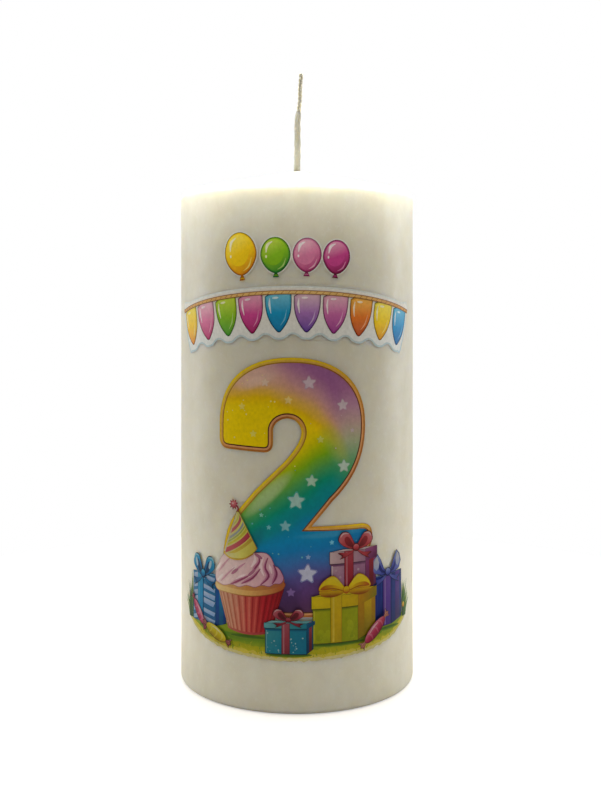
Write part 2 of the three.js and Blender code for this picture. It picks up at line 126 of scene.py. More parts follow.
def make_world():
    """A white studio: bright behind and overhead, dimmer and warmer in front."""
    world = bpy.data.worlds.new("studio")
    n = Nodes(owner=world)
    n.tree.nodes.clear()
    split = n.add("SeparateXYZ")
    n.put(n.add("TexCoord").outputs["Generated"], split.inputs[0])
    behind = n.span(split.outputs["Y"], -0.1, 0.7, 0, 1, True)
    overhead = n.span(split.outputs["Z"], 0.4, 0.85, 0, 1, True)
    colour = n.mix(behind, (0.105, 0.074, 0.045, 1), (0.8, 0.79, 0.75, 1))
    colour = n.mix(overhead, colour, (1.1, 1.08, 1.04, 1))
    lit = n.add("Background")
    n.put(colour, lit.inputs["Color"])
    seen = n.add("Background")
    seen.inputs["Color"].default_value = (1, 1, 1, 1)
    mix = n.add("MixShader")
    n.put(n.add("LightPath").outputs["Is Camera Ray"], mix.inputs[0])
    n.put(lit.outputs[0], mix.inputs[1])
    n.put(seen.outputs[0], mix.inputs[2])
    n.put(mix.outputs[0], n.add("OutputWorld").inputs[0])
    bpy.context.scene.world = world
    bpy.context.scene.view_settings.view_transform = "Standard"


def make_floor():
    """A round white board, a few candle heights across, just under the candle's foot."""
    mesh = bpy.data.meshes.new("floor")
    count, reach = 96, 0.17
    edge = [(reach * math.cos(2 * math.pi * i / count), reach * math.sin(2 * math.pi * i / count), 0)
            for i in range(count)]
    mesh.from_pydata(edge, [], [tuple(range(count))])
    floor = link(bpy.data.objects.new("floor", mesh))
    floor.location.z = -0.00005
    mesh.materials.append(floor_material())


# --- Node helpers

def rgb(code):
    """A hexadecimal sRGB colour as a linear one."""
    parts = [int(code[i:i + 2], 16) / 255 for i in (1, 3, 5)]
    return tuple(p / 12.92 if p <= 0.04045 else ((p + 0.055) / 1.055) ** 2.4 for p in parts)


def darker(code, share):
    """A colour code with each sRGB part scaled down to a share."""
    return "#" + "".join(f"{round(int(code[i:i + 2], 16) * share):02X}" for i in (1, 3, 5))


def lighter(code, share):
    """A colour code moved towards white by a share."""
    parts = [int(code[i:i + 2], 16) for i in (1, 3, 5)]
    return "#" + "".join(f"{round(255 - (255 - part) * (1 - share)):02X}" for part in parts)


def deepened(code, purity, strength):
    """A colour made purer, by taking out a share of its weakest part, and then darker."""
    parts = rgb(code)
    weakest = min(parts) * purity
    result = "#"
    for part in parts:
        c = max(0.0, (part - weakest) * strength)
        share = 12.92 * c if c <= 0.0031308 else 1.055 * c ** (1 / 2.4) - 0.055
        result += f"{round(255 * share):02X}"
    return result


def linear(colour):
    """A shader's RGBA colour from a hexadecimal code or from three linear parts."""
    return (*(rgb(colour) if isinstance(colour, str) else colour), 1)


def even_stops(colours):
    """Ramp stops for the colours, evenly spaced from 0 to 1."""
    steps = max(1, len(colours) - 1)
    return [(i / steps, colour) for i, colour in enumerate(colours)]


class Nodes:
    """A short way to build the node tree of a new material, or of a world."""

    def __init__(self, name="", owner=None):
        self.material = owner or bpy.data.materials.new(name)
        self.material.use_nodes = True
        self.tree = self.material.node_tree
        self.shader = self.tree.nodes.get("Principled BSDF")

    def add(self, kind, **settings):
        node = self.tree.nodes.new("ShaderNode" + kind)
        for key, value in settings.items():
            setattr(node, key, value)
        return node

    def put(self, value, socket):
        if isinstance(value, bpy.types.NodeSocket):
            self.tree.links.new(value, socket)
        else:
            socket.default_value = value

    def math(self, operation, a, b):
        node = self.add("Math", operation=operation)
        self.put(a, node.inputs[0])
        self.put(b, node.inputs[1])
        return node.outputs[0]

    def plus(self, a, b):
        return self.math("ADD", a, b)

    def minus(self, a, b):
        return self.math("SUBTRACT", a, b)

    def times(self, a, b):
        return self.math("MULTIPLY", a, b)

    def span(self, value, low, high, to_low=0.0, to_high=1.0, smooth=False):
        """The value mapped from low..high to to_low..to_high and kept between them."""
        node = self.add("MapRange", interpolation_type="SMOOTHSTEP" if smooth else "LINEAR")
        for socket, number in zip(node.inputs, (value, low, high, to_low, to_high)):
            self.put(number, socket)
        return node.outputs[0]

    def ramp(self, value, stops, interpolation="LINEAR"):
        """The value's colour on a ramp of (place, colour) stops, which are in rising order."""
        node = self.add("ValToRGB")
        node.color_ramp.interpolation = interpolation
        elements = node.color_ramp.elements
        while len(elements) > 1:
            elements.remove(elements[-1])
        for i, (place, colour) in enumerate(stops):
            element = elements.new(place) if i else elements[0]
            element.position = place
            element.color = linear(colour)
        self.put(value, node.inputs[0])
        return node.outputs[0]

    def mix(self, share, a, b, blend="MIX"):
        """Colour a with a share of colour b, which may be a hexadecimal code."""
        node = self.add("Mix", data_type="RGBA", blend_type=blend)
        self.put(share, node.inputs[0])
        self.put(a, node.inputs[6])
        self.put(linear(b) if isinstance(b, str) else b, node.inputs[7])
        return node.outputs[2]

    def place(self):
        """The distance round the wax and the height, in millimetres, of the point being shaded."""
        coordinates = self.add("TexCoord").outputs["Object"]
        split = self.add("SeparateXYZ")
        self.put(coordinates, split.inputs[0])
        angle = self.math("ARCTAN2", split.outputs["X"], self.times(split.outputs["Y"], -1.0))
        return self.times(angle, RADIUS), self.math("DIVIDE", split.outputs["Z"], MM)

    def noise(self, size, detail=2.0, stretch=1.0, roughness=0.5):
        """Noise with features about size millimetres across, stretched upright by a factor."""
        coordinates = self.add("TexCoord").outputs["Object"]
        scaled = self.add("Mapping")
        self.put(coordinates, scaled.inputs["Vector"])
        scaled.inputs["Scale"].default_value = (1, 1, 1 / stretch)
        node = self.add("TexNoise")
        self.put(scaled.outputs[0], node.inputs["Vector"])
        node.inputs["Scale"].default_value = 1 / (size * MM)
        node.inputs["Detail"].default_value = detail
        node.inputs["Roughness"].default_value = roughness
        return node.outputs["Fac"]

    def bump(self, height, distance, strength=1.0, normal=None):
        node = self.add("Bump")
        node.inputs["Strength"].default_value = strength
        node.inputs["Distance"].default_value = distance * MM
        self.put(height, node.inputs["Height"])
        if normal is not None:
            self.put(normal, node.inputs["Normal"])
        return node.outputs[0]

    def scatter(self, weight, radius, depth):
        """Lets light pass through, by a radius for red, green and blue times a depth in millimetres."""
        self.shader.inputs["Subsurface Weight"].default_value = weight
        self.shader.inputs["Subsurface Radius"].default_value = radius
        self.shader.inputs["Subsurface Scale"].default_value = depth * MM

    def finish(self, colour=None, roughness=None, normal=None, plain=None):
        """Links or sets the shader's inputs and returns the material."""
        if colour is not None:
            self.put(colour, self.shader.inputs["Base Color"])
        if roughness is not None:
            self.put(roughness, self.shader.inputs["Roughness"])
        if normal is not None:
            self.put(normal, self.shader.inputs["Normal"])
        for key, value in (plain or {}).items():
            self.shader.inputs[key].default_value = value
        return self.material


# --- Materials

def floor_material():
    """A white board. To the camera it glows a little, as an overexposed white background does."""
    n = Nodes("studio_floor")
    tone = n.ramp(n.noise(40, 3), [(0.3, (0.64, 0.612, 0.57)), (0.7, (0.68, 0.652, 0.61))])
    seen = n.add("LightPath").outputs["Is Camera Ray"]
    n.put(n.times(seen, 0.5), n.shader.inputs["Emission Strength"])
    return n.finish(tone, 0.7, plain={"Emission Color": (1, 1, 1, 1)})


def wax_surface(n):
    """Bump shared by the wax and the film on it: slow dipping waves, a fine orange peel and grain."""
    waves = n.bump(n.noise(14, 2, 1.6), 0.35)
    peel = n.bump(n.noise(1.6, 3, 1.3), 0.035, normal=waves)
    return n.bump(n.noise(0.35, 2), 0.008, normal=peel)


def wax_material(name, light, shade, depth):
    """Paraffin: warm white with cloudy mottling. Light passes a few millimetres, the depth, through it."""
    n = Nodes(name)
    cloud = n.noise(5, 4, 1.5, 0.6)
    colour = n.ramp(cloud, [(0.3, shade), (0.7, light)])
    specks = n.span(n.noise(0.9, 3, 1.2, 0.7), 0.56, 0.72)
    colour = n.mix(n.times(specks, 0.25), colour, "#FFFDF4")
    roughness = n.span(n.noise(3, 3), 0.3, 0.7, 0.32, 0.46)
    n.finish(colour, roughness, wax_surface(n), {"IOR": 1.43})
    n.scatter(1.0, (1.0, 0.84, 0.56), depth)
    return n.material


def print_finish(n, colour):
    """The finish that all printed inks share: a thin ink over wax, mottled and satin."""
    mottle = n.span(n.noise(0.8, 3, 1.2, 0.65), 0.3, 0.7, 0.9, 1.06)
    grey = n.add("CombineColor")
    for socket in grey.inputs[:3]:
        n.put(mottle, socket)
    colour = n.mix(1.0, colour, grey.outputs[0], "MULTIPLY")
    roughness = n.span(n.noise(2.5, 3), 0.3, 0.7, 0.36, 0.5)
    return n.finish(colour, roughness, wax_surface(n), {"IOR": 1.43, "Specular IOR Level": 0.2})


inks = {}  # the inks made so far, by their colours and the places they fade between


def ink(colours, start, end):
    """An ink that fades through its colours from one place on the film to another."""
    key = (tuple(colours), tuple(start), tuple(end))
    if key not in inks:
        n = Nodes(f"ink_{len(inks):03d}")
        x, y = n.place()
        along = Vector(end) - Vector(start)
        along = along / along.length_squared
        shift = -along.dot(Vector(start))
        part = n.plus(n.times(x, along.x), n.times(y, along.y))
        part = n.plus(part, shift)
        easing = "EASE" if len(colours) == 2 else "LINEAR"
        inks[key] = print_finish(n, n.ramp(part, even_stops(colours), easing))
    return inks[key]


def shaded_ink(name, colours):
    """An ink whose colour follows the piece's own shade attribute, from 0 to 1."""
    n = Nodes(name)
    shade = n.add("Attribute", attribute_name="shade").outputs["Fac"]
    return print_finish(n, n.ramp(shade, even_stops(colours.split())))


def rainbow_ink():
    """The numeral's rainbow: yellow round its counter, mauve over it, and green to blue down its stroke."""
    n = Nodes("ink_rainbow")
    x, y = n.place()
    wobble = n.times(n.minus(n.noise(8, 2), 0.5), 3.0)

    def fade(place, stops):
        """A ramp of colours at places in millimetres."""
        low, high = stops[0][0], stops[-1][0]
        return n.ramp(n.span(place, low, high), [((at - low) / (high - low), c) for at, c in stops])

    down = n.minus(n.times(x, 0.556), n.times(y, 0.831))
    colour = fade(n.plus(down, wobble), [
        (-52.5, "#F2D600"), (-50.6, "#DCD000"), (-49, "#B4C400"), (-47, "#80B414"), (-45, "#5FA846"),
        (-43.2, "#349A64"), (-41.6, "#009276"), (-40, "#008E8E"), (-38, "#008996"), (-36.5, "#0082A8"),
        (-34, "#0086B8"), (-30, "#0082BD")])

    past = n.math("MAXIMUM", n.plus(x, 8.0), 0.0)
    crown = n.minus(75.3, n.times(n.times(past, past), 0.033))
    above = n.plus(n.minus(y, crown), wobble)
    mauve = fade(above, [(-5, "#F0CE00"), (-2, "#E6BC0A"), (0.5, "#E0B25C"), (2.2, "#D4A084"),
                         (4.2, "#C8949A"), (6.8, "#B27C9C"), (9.2, "#A2689A"), (11, "#9C6498")])
    pinker = n.times(n.span(x, -1, -11, 0, 0.75, True), n.span(above, 0, 2.5))
    mauve = n.mix(pinker, mauve, "#E8C4AC")
    colour = n.mix(n.span(above, -5, -1, 0, 1, True), colour, mauve)

    side = fade(y, [(50, "#008E84"), (54, "#1E9478"), (57, "#4CA268"), (60, "#78AA7C"), (64, "#AEB490"),
                    (68, "#C0A29C"), (72, "#B88AA4"), (76, "#A66C98")])
    share = n.times(n.span(x, 7.0, 12.5, 0, 1, True), n.span(y, 49, 54, 0, 1, True))
    colour = n.mix(share, colour, side)

    slant = n.plus(n.minus(y, n.times(x, 0.2)), wobble)
    foot = fade(slant, [(22, "#54304E"), (26, "#583262"), (29, "#5A3A76"), (32, "#525092"), (35, "#386CAE"),
                        (38, "#0C7AB8"), (41, "#0086BC"), (44, "#0088B6")])
    slope = n.minus(y, n.times(x, 0.35))
    colour = n.mix(n.span(slope, 45, 40, 0, 1, True), colour, foot)

    # Soft ovals: painted highlights at (-6.8, 51.2) and (8, 41.9), a painted shadow beside the cupcake at
    # (-2.4, 26), and patches of print colour.
    for place, turned, size, strength, tint in (
            ((-6.8, 51.2), 43, (9, 2.1), 0.6, "#C2D8A4"), ((8, 41.9), 3, (10, 0.9), 0.4, "#4CA4CC"),
            ((-9.5, 77.5), 22, (6, 1.6), 0.3, "#F0D6C8"), ((-2.4, 26), 8, (4.5, 7.5), 0.5, "#2C1640"),
            ((-9.5, 41), 60, (4, 2), 0.35, "#12506A"), ((9, 63), -58, (6.5, 3), 0.5, "#A4BC48")):
        colour = tint_and_painted_light(n, colour, (x, y), place, turned, size, strength, tint)
    return print_finish(n, colour)


def tint_and_painted_light(n, colour, where, place, turned, size, strength, tint):
    """Mixes a soft-edged, turned oval of another tint into a colour; the rainbow uses it for patches of print
    colour, painted highlights and a painted shadow.
    """
    x = n.minus(where[0], place[0])
    y = n.minus(where[1], place[1])
    c, s = math.cos(math.radians(turned)), math.sin(math.radians(turned))
    along = n.plus(n.times(x, c / size[0]), n.times(y, s / size[0]))
    aside = n.plus(n.times(x, -s / size[1]), n.times(y, c / size[1]))
    reach = n.plus(n.times(along, along), n.times(aside, aside))
    return n.mix(n.span(reach, 1, 0, 0, strength, True), colour, tint)


def wick_material():
    """Braided cotton soaked in wax: fine fibres along the strands and a thin waxy gloss."""
    n = Nodes("waxed_cotton")
    fibres = n.noise(0.12, 3, 6, 0.7)
    colour = n.ramp(fibres, [(0.25, "#9C9784"), (0.55, "#B4B09E"), (0.8, "#C4C1B4")])
    stain = n.span(n.noise(3, 2, 2), 0.4, 0.75, 0, 0.4)
    colour = n.mix(stain, colour, "#A09A80")
    n.finish(colour, n.span(fibres, 0.2, 0.8, 0.4, 0.62), n.bump(fibres, 0.05))
    n.scatter(0.8, (1.0, 0.9, 0.7), 1.2)
    return n.material


def tin_material():
    """Bright tinplate with fine rolling marks and a few dull blooms of wax."""
    n = Nodes("tinplate")
    marks = n.noise(0.25, 2, 8)
    colour = n.ramp(marks, [(0.3, "#A9ABAF"), (0.7, "#D6D7DA")])
    return n.finish(colour, n.span(n.noise(2, 3), 0.3, 0.7, 0.22, 0.5), n.bump(marks, 0.01),
                    {"Metallic": 1.0})


def core_material():
    """Wax pressed from granules, which still show as small pale cells with darker joints."""
    n = Nodes("pressed_wax")
    cells = n.add("TexVoronoi", feature="DISTANCE_TO_EDGE")
    n.put(n.add("TexCoord").outputs["Object"], cells.inputs["Vector"])
    cells.inputs["Scale"].default_value = 1 / (1.1 * MM)
    joint = n.span(cells.outputs["Distance"], 0.0, 0.16)
    colour = n.ramp(joint, [(0, "#DDD5BF"), (1, "#F3EEDF")])
    cloud = n.noise(4, 3)
    colour = n.mix(n.span(cloud, 0.35, 0.7, 0, 0.4), colour, "#E8E0CC")
    normal = n.bump(joint, 0.06, normal=n.bump(n.noise(0.4, 3), 0.03))
    return n.finish(colour, n.span(cloud, 0.3, 0.7, 0.5, 0.68), normal)


# --- Meshes

def piece(name, vertices, faces, materials, nodes, indices=None, sharp=35):
    """A mesh object that rides on the candle's body and stands for CAD nodes."""
    mesh = bpy.data.meshes.new(name)
    mesh.from_pydata(vertices, [], faces)
    for material in materials:
        mesh.materials.append(material)
    if indices is not None:
        mesh.polygons.foreach_set("material_index", indices)
    mesh.shade_smooth()
    mesh.set_sharp_from_angle(angle=math.radians(sharp))
    mesh.validate()
    obj = link(bpy.data.objects.new(name, mesh))
    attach(obj, "root")
    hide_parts(*nodes)
    return obj


def turned(profile, sides, displace=None):
    """Vertices, in metres, and faces of a closed profile of (radius, height) points turned about Z.

    The profile runs out along the foot, up the outside and back in, so that its faces point outwards.
    """
    vertices, faces = [], []
    count = len(profile)
    for i in range(sides):
        angle = 2 * math.pi * i / sides
        for radius, height in profile:
            if displace is not None:
                radius, height = displace(radius, height, angle)
            vertices.append((radius * MM * math.cos(angle), radius * MM * math.sin(angle), height * MM))
    for i in range(sides):
        here, there = i * count, ((i + 1) % sides) * count
        for j in range(count):
            k = (j + 1) % count
            faces.append((here + k, here + j, there + j, there + k))
    return vertices, faces


def arc(centre_radius, centre_height, radius, start, end, steps):
    """Points of an arc in the radius-height plane, in degrees from the outward direction."""
    points = []
    for i in range(steps + 1):
        angle = math.radians(start + (end - start) * i / steps)
        points.append((centre_radius + radius * math.cos(angle), centre_height + radius * math.sin(angle)))
    return points


def between(start, end, steps):
    """Points after start up to and with end, evenly spaced."""
    return [(start[0] + (end[0] - start[0]) * i / steps, start[1] + (end[1] - start[1]) * i / steps)
            for i in range(1, steps + 1)]


# --- Wax

SKIN = 1.5  # thickness of the dipped coat
GAP = 0.3  # between the coat and the core
SHOULDER = 2.4  # radius of the upper edge
FOOT = 1.2  # radius of the lower edge
SLOPE = math.radians(11)  # how far the top falls away from the wick
BORE = 1.5  # radius of the wick's hole
COLLAR = 3.0  # radius of the wax drawn up round the wick
COLLAR_RISE = 0.5
EASE = 0.03  # how far the wax surface wanders in from its full radius


def shoulder_arc(depth):
    """The rounded shoulder, up to the sloping top, of a surface that lies depth inside the wax."""
    height = WAX_TOP - COLLAR_RISE - SHOULDER * math.cos(SLOPE)
    height -= (RADIUS - SHOULDER + SHOULDER * math.sin(SLOPE) - COLLAR) * math.tan(SLOPE)
    return arc(RADIUS - SHOULDER, height, SHOULDER - depth, 0, 90 - math.degrees(SLOPE), 14)


def wander(height, angle):
    """How far in a point of the wax surface lies, by a few hundredths, as dipping leaves it."""
    around = Vector((math.cos(angle) * 1.3, math.sin(angle) * 1.3, height / 26))
    slow = 0.5 + 0.5 * noise.noise(around)
    quick = 0.5 + 0.5 * noise.noise(around * 5 + Vector((7, 3, 1)))
    return EASE * (0.7 * slow + 0.3 * quick)


def make_coat(wax):
    """The dipped coat: side, rounded shoulder, sloping top and the collar drawn up round the wick."""
    shoulder = shoulder_arc(0)
    edge = shoulder[-1]
    collar_height = edge[1] + (edge[0] - COLLAR) * math.tan(SLOPE)
    inner_shoulder = shoulder_arc(SKIN)
    inner_edge = inner_shoulder[-1]
    inner_top = (BORE, inner_edge[1] + (inner_edge[0] - BORE) * math.tan(SLOPE))
    foot = arc(RADIUS - FOOT, FOOT, FOOT, -90, 0, 8)
    profile = [(RADIUS - SKIN, 0), *foot, *between(foot[-1], shoulder[0], 84)[:-1], *shoulder]
    profile += between(edge, (COLLAR + 4, collar_height - 4 * math.tan(SLOPE)), 12)
    start = profile[-1]
    for i in range(1, 13):
        share = i / 12
        radius = start[0] + (BORE + 0.05 - start[0]) * share
        rise = start[1] + (start[0] - radius) * math.tan(SLOPE)
        climb = max(0, (share - 0.45) / 0.55) ** 2.2 * (WAX_TOP - collar_height - COLLAR_RISE * 0.35)
        profile.append((radius, min(WAX_TOP, rise + climb)))
    profile.append((BORE, profile[-1][1] - 0.3))
    outside = len(profile)
    profile += [inner_top, *between(inner_top, inner_edge, 6), *reversed(inner_shoulder[:-1])]

    wandering = {(round(r, 5), round(h, 5)) for r, h in profile[1:outside - 2]}

    def displace(radius, height, angle):
        """Moves only the points of the outside, and those inwards."""
        if (round(radius, 5), round(height, 5)) not in wandering:
            return radius, height
        inward = wander(height, angle)
        if radius > RADIUS - SHOULDER - 0.01:
            radius -= inward
        else:
            height -= inward * 3 * (radius - BORE) / RADIUS
        return radius, max(height, 0.0)

    vertices, faces = turned(profile, 192, displace)
    piece("dipped_coat", vertices, faces, [wax], ["wax_overdip"])


def make_core(pressed):
    """The pressed core: smooth inside the coat, granular and a little hollow underneath."""
    depth = SKIN + GAP
    shoulder = shoulder_arc(depth)
    edge = shoulder[-1]
    top = (BORE, edge[1] + (edge[0] - BORE) * math.tan(SLOPE))
    disc = 9.3
    profile = [(disc, 0.12), *between((disc, 0.12), (RADIUS - depth - 0.5, 0.0), 18)]
    profile += [(RADIUS - depth, 0.45), *between((RADIUS - depth, 0.45), shoulder[0], 20)[:-1], *shoulder]
    profile += between(edge, top, 12)
    profile += [(BORE, 8.3), (2.2, 8.3), (2.2, 2.7), (disc, 2.7)]

    def displace(radius, height, angle):
        if height < 0.4 and disc < radius < RADIUS - depth - 0.4:
            grain = noise.noise(Vector((radius * math.cos(angle), radius * math.sin(angle), 0)) * 0.9)
            ring = 0.12 * math.exp(-((radius - 19) / 0.8) ** 2)
            height += 0.04 + 0.04 * grain + ring
        return radius, height

    vertices, faces = turned(profile, 144, displace)
    piece("pressed_core", vertices, faces, [pressed], ["wax_core"])


def make_plug(wax):
    """The wax poured over the sustainer: a low puddle with a drawn-in middle and a rounded edge."""
    profile = [(0.0001, 0.35), *[(r, 0.35 - 0.3 * (r / 8.2) ** 2) for r in (2, 4, 6, 7.4, 8.2)]]
    profile += arc(8.4, 0.55, 0.52, -80, 0, 5) + [(8.92, 1.5), (8.6, 1.7), (0.0001, 1.7)]

    def displace(radius, height, angle):
        if height < 1.0 and radius > 0.1:
            around = Vector((math.cos(angle), math.sin(angle), radius / 4)) * 1.4
            height = max(0.0, height + 0.05 * noise.noise(around))
        return radius, height

    vertices, faces = turned(profile, 96, displace)
    piece("base_plug_wax", vertices, faces, [wax], ["base_plug"])


def make_sustainer(tin):
    """The tin disc and its crimped neck, with a pressed ring in the disc."""
    base, sheet, neck, height, disc = 2.0, 0.4, 1.9, 6.0, 9.0
    outline = [(neck - sheet, base), *between((neck - sheet, base), (disc, base), 14)]
    outline += [(disc, base + sheet), *between((disc, base + sheet), (neck + 0.5, base + sheet), 13)]
    outline += [(neck, base + sheet + 0.5), *between((neck, base + sheet + 0.5), (neck, base + height), 10)]
    outline += between((neck, base + height), (neck - sheet, base + height), 1)
    outline += between((neck - sheet, base + height), (neck - sheet, base), 12)[:-1]

    def displace(radius, z, angle):
        if radius > neck + 0.4:
            z += 0.14 * math.exp(-((radius - 6.2) / 0.5) ** 2)
        elif z > base + 2:
            radius -= 0.12 * max(0.0, math.cos(4 * angle)) * math.exp(-((z - base - 4) / 0.7) ** 2)
        return radius, z

    vertices, faces = turned(outline, 72, displace)
    piece("tin_sustainer", vertices, faces, [tin], ["wick_sustainer"])


# --- Wick

def wick_line(height):
    """The middle of the wick at a height: straight in the wax, then leaning a little to the right."""
    free = max(0.0, (height - WAX_TOP) / (WICK_TOP - WAX_TOP))
    return 0.12 * min(1, free * 5) + 0.68 * smooth_step(free, 0.45, 0.78) + 0.28 * smooth_step(free, 0.8, 1)


def smooth_step(value, low, high):
    """An eased share, from 0 at low to 1 at high."""
    share = min(1.0, max(0.0, (value - low) / (high - low)))
    return share * share * (3 - 2 * share)


def tube(path, sections):
    """Vertices and faces of a closed tube: path in millimetres, sections of (right, forward) offsets."""
    vertices, faces = [], []
    count = len(sections[0])
    for (x, y, z), section in zip(path, sections):
        for across, along in section:
            vertices.append(((x + across) * MM, (y + along) * MM, z * MM))
    for i in range(len(path) - 1):
        for j in range(count):
            k = (j + 1) % count
            faces.append((i * count + j, i * count + k, (i + 1) * count + k, (i + 1) * count + j))
    faces.append(tuple(reversed(range(count))))
    last = (len(path) - 1) * count
    faces.append(tuple(range(last, last + count)))
    return vertices, faces


def make_wick(cotton, wax):
    """Three flat bundles plaited together, under a thin sleeve of wax that ends part of the way up."""
    vertices, faces, indices = [], [], []
    foot, pitch, sides, step = 2.05, 3.6, 10, 0.25
    count = int((WICK_TOP - foot - 0.35) / step)
    for strand in range(3):
        path, sections = [], []
        for i in range(count + 1):
            z = foot + (WICK_TOP - 0.35 - foot) * i / count
            phase = 2 * math.pi * (z / pitch + strand / 3)
            reach = 0.28 - 0.09 * smooth_step(z, WAX_TOP + 12, WAX_TOP + 18)
            thin = 1 - 0.2 * smooth_step(z, WAX_TOP + 12, WAX_TOP + 18)
            wave = noise.noise(Vector((0, strand * 9, z / 3)))
            x = wick_line(z) + reach * math.sin(phase)
            y = 0.2 * math.sin(2 * phase)
            turn = 0.5 * math.cos(phase)
            section = []
            for j in range(sides):
                a = 2 * math.pi * j / sides
                right = (0.43 + 0.02 * wave) * thin * math.cos(a)
                forward = (0.3 + 0.02 * wave) * thin * math.sin(a)
                section.append((right * math.cos(turn) - forward * math.sin(turn) * 0.5,
                                forward * math.cos(turn) + right * math.sin(turn) * 0.5))
            path.append((x, y, z))
            sections.append(section)
        add_part(vertices, faces, indices, tube(path, sections), 0)

    path, sections = [], []
    for i in range(61):
        share = i / 60
        z = WAX_TOP - 1.6 + 17.2 * share
        closing = math.sqrt(max(0.0, 1 - max(0.0, (share - 0.9) / 0.1) ** 2)) * 0.35 + 0.65
        wave = 0.05 * noise.noise(Vector((0, 3, z / 1.3))) + 0.03 * math.sin(2 * math.pi * z / 3.6)
        path.append((wick_line(z) + 0.03 * noise.noise(Vector((5, 0, z / 2))), 0, z))
        across = (0.84 - 0.06 * share + wave) * closing
        angles = [2 * math.pi * j / 20 for j in range(20)]
        sections.append([(across * math.cos(a), 0.7 * across * math.sin(a)) for a in angles])
    add_part(vertices, faces, indices, tube(path, sections), 1)
    piece("braided_wick", vertices, faces, [cotton, wax], ["wick_braid"], indices, sharp=60)


def add_part(vertices, faces, indices, part, material):
    """Adds one closed part to a mesh that is made of several."""
    start = len(vertices)
    vertices.extend(part[0])
    faces.extend(tuple(v + start for v in face) for face in part[1])
    indices.extend([material] * len(part[1]))


# --- Flat shapes, in millimetres round the wax and up it

def spline(points, steps=5, closed=True):
    """A smooth line through the points."""
    count = len(points)
    line = []
    for i in range(count if closed else count - 1):
        picks = [(i + k) % count if closed else min(max(i + k, 0), count - 1) for k in (-1, 0, 1, 2)]
        a, b, c, d = (Vector(points[k]) for k in picks)
        for j in range(steps):
            t = j / steps
            line.append(b + 0.5 * t * (c - a + t * (2 * a - 5 * b + 4 * c - d + t * (3 * b - a - 3 * c + d))))
    return line if closed else line + [Vector(points[-1])]


def bezier(start, first, second, end, steps=12):
    """Points after start of a cubic curve."""
    a, b, c, d = (Vector(p) for p in (start, first, second, end))
    shares = [i / steps for i in range(1, steps + 1)]
    return [(1 - t) ** 3 * a + 3 * t * (1 - t) ** 2 * b + 3 * t * t * (1 - t) * c + t ** 3 * d
            for t in shares]


def oval(x, y, across, up, turn=0.0, count=26):
    """An ellipse with its half width and half height, turned by degrees."""
    c, s = math.cos(math.radians(turn)), math.sin(math.radians(turn))
    line = []
    for i in range(count):
        angle = 2 * math.pi * i / count
        px, py = across * math.cos(angle), up * math.sin(angle)
        line.append(Vector((x + px * c - py * s, y + px * s + py * c)))
    return line


def star(x, y, size, turn=90.0, plump=0.5):
    """A five-pointed star with blunt points."""
    line = []
    for i in range(5):
        tip = math.radians(turn + 72 * i)
        for offset, reach in ((-0.1, 0.96), (0.1, 0.96), (math.radians(36), plump)):
            line.append(Vector((x + size / 2 * reach * math.cos(tip + offset),
                                y + size / 2 * reach * math.sin(tip + offset))))
    return line


def ribbon(points, widths, steps=5):
    """A stroke along a smooth line, as wide as widths say from its start to its end."""
    path = spline(points, steps, False)
    last = len(path) - 1
    left, right = [], []
    for i, point in enumerate(path):
        ahead = path[min(i + 1, last)] - path[max(i - 1, 0)]
        side = Vector((-ahead.y, ahead.x)).normalized()
        place = i / last * (len(widths) - 1)
        k = min(int(place), len(widths) - 2)
        width = widths[k] + (widths[k + 1] - widths[k]) * (place - k)
        left.append(point + side * width / 2)
        right.append(point - side * width / 2)
    return right + left[::-1]


def placed(outline, x, y, turn=0.0, wide=1.0, high=1.0):
    """An outline scaled, turned by degrees and moved."""
    c, s = math.cos(math.radians(turn)), math.sin(math.radians(turn))
    return [Vector((x + px * wide * c - py * high * s, y + px * wide * s + py * high * c))
            for px, py in outline]


def blend(a, b, share):
    """The point a share of the way from a to b."""
    return (a[0] + (b[0] - a[0]) * share, a[1] + (b[1] - a[1]) * share)


def anticlockwise(outline):
    """The outline without doubled points, turned anticlockwise."""
    points = [Vector(p) for i, p in enumerate(outline) if (Vector(p) - Vector(outline[i - 1])).length > 0.004]
    area = sum(a.x * b.y - b.x * a.y for a, b in zip(points, points[1:] + points[:1]))
    return points if area > 0 else points[::-1]


def normals(outline):
    """For each point of an anticlockwise outline, the inward direction that keeps both edges parallel."""
    result = []
    for i, point in enumerate(outline):
        before = point - outline[i - 1]
        after = outline[(i + 1) % len(outline)] - point
        first = Vector((-before.y, before.x)).normalized()
        second = Vector((-after.y, after.x)).normalized()
        result.append((first + second) / max(0.4, 1 + first.dot(second)))
    return result


def inset(outline, distance):
    """An outline moved inwards by a distance, or outwards by a negative one."""
    points = anticlockwise(outline)
    return [p + n * distance for p, n in zip(points, normals(points))]


# --- Film

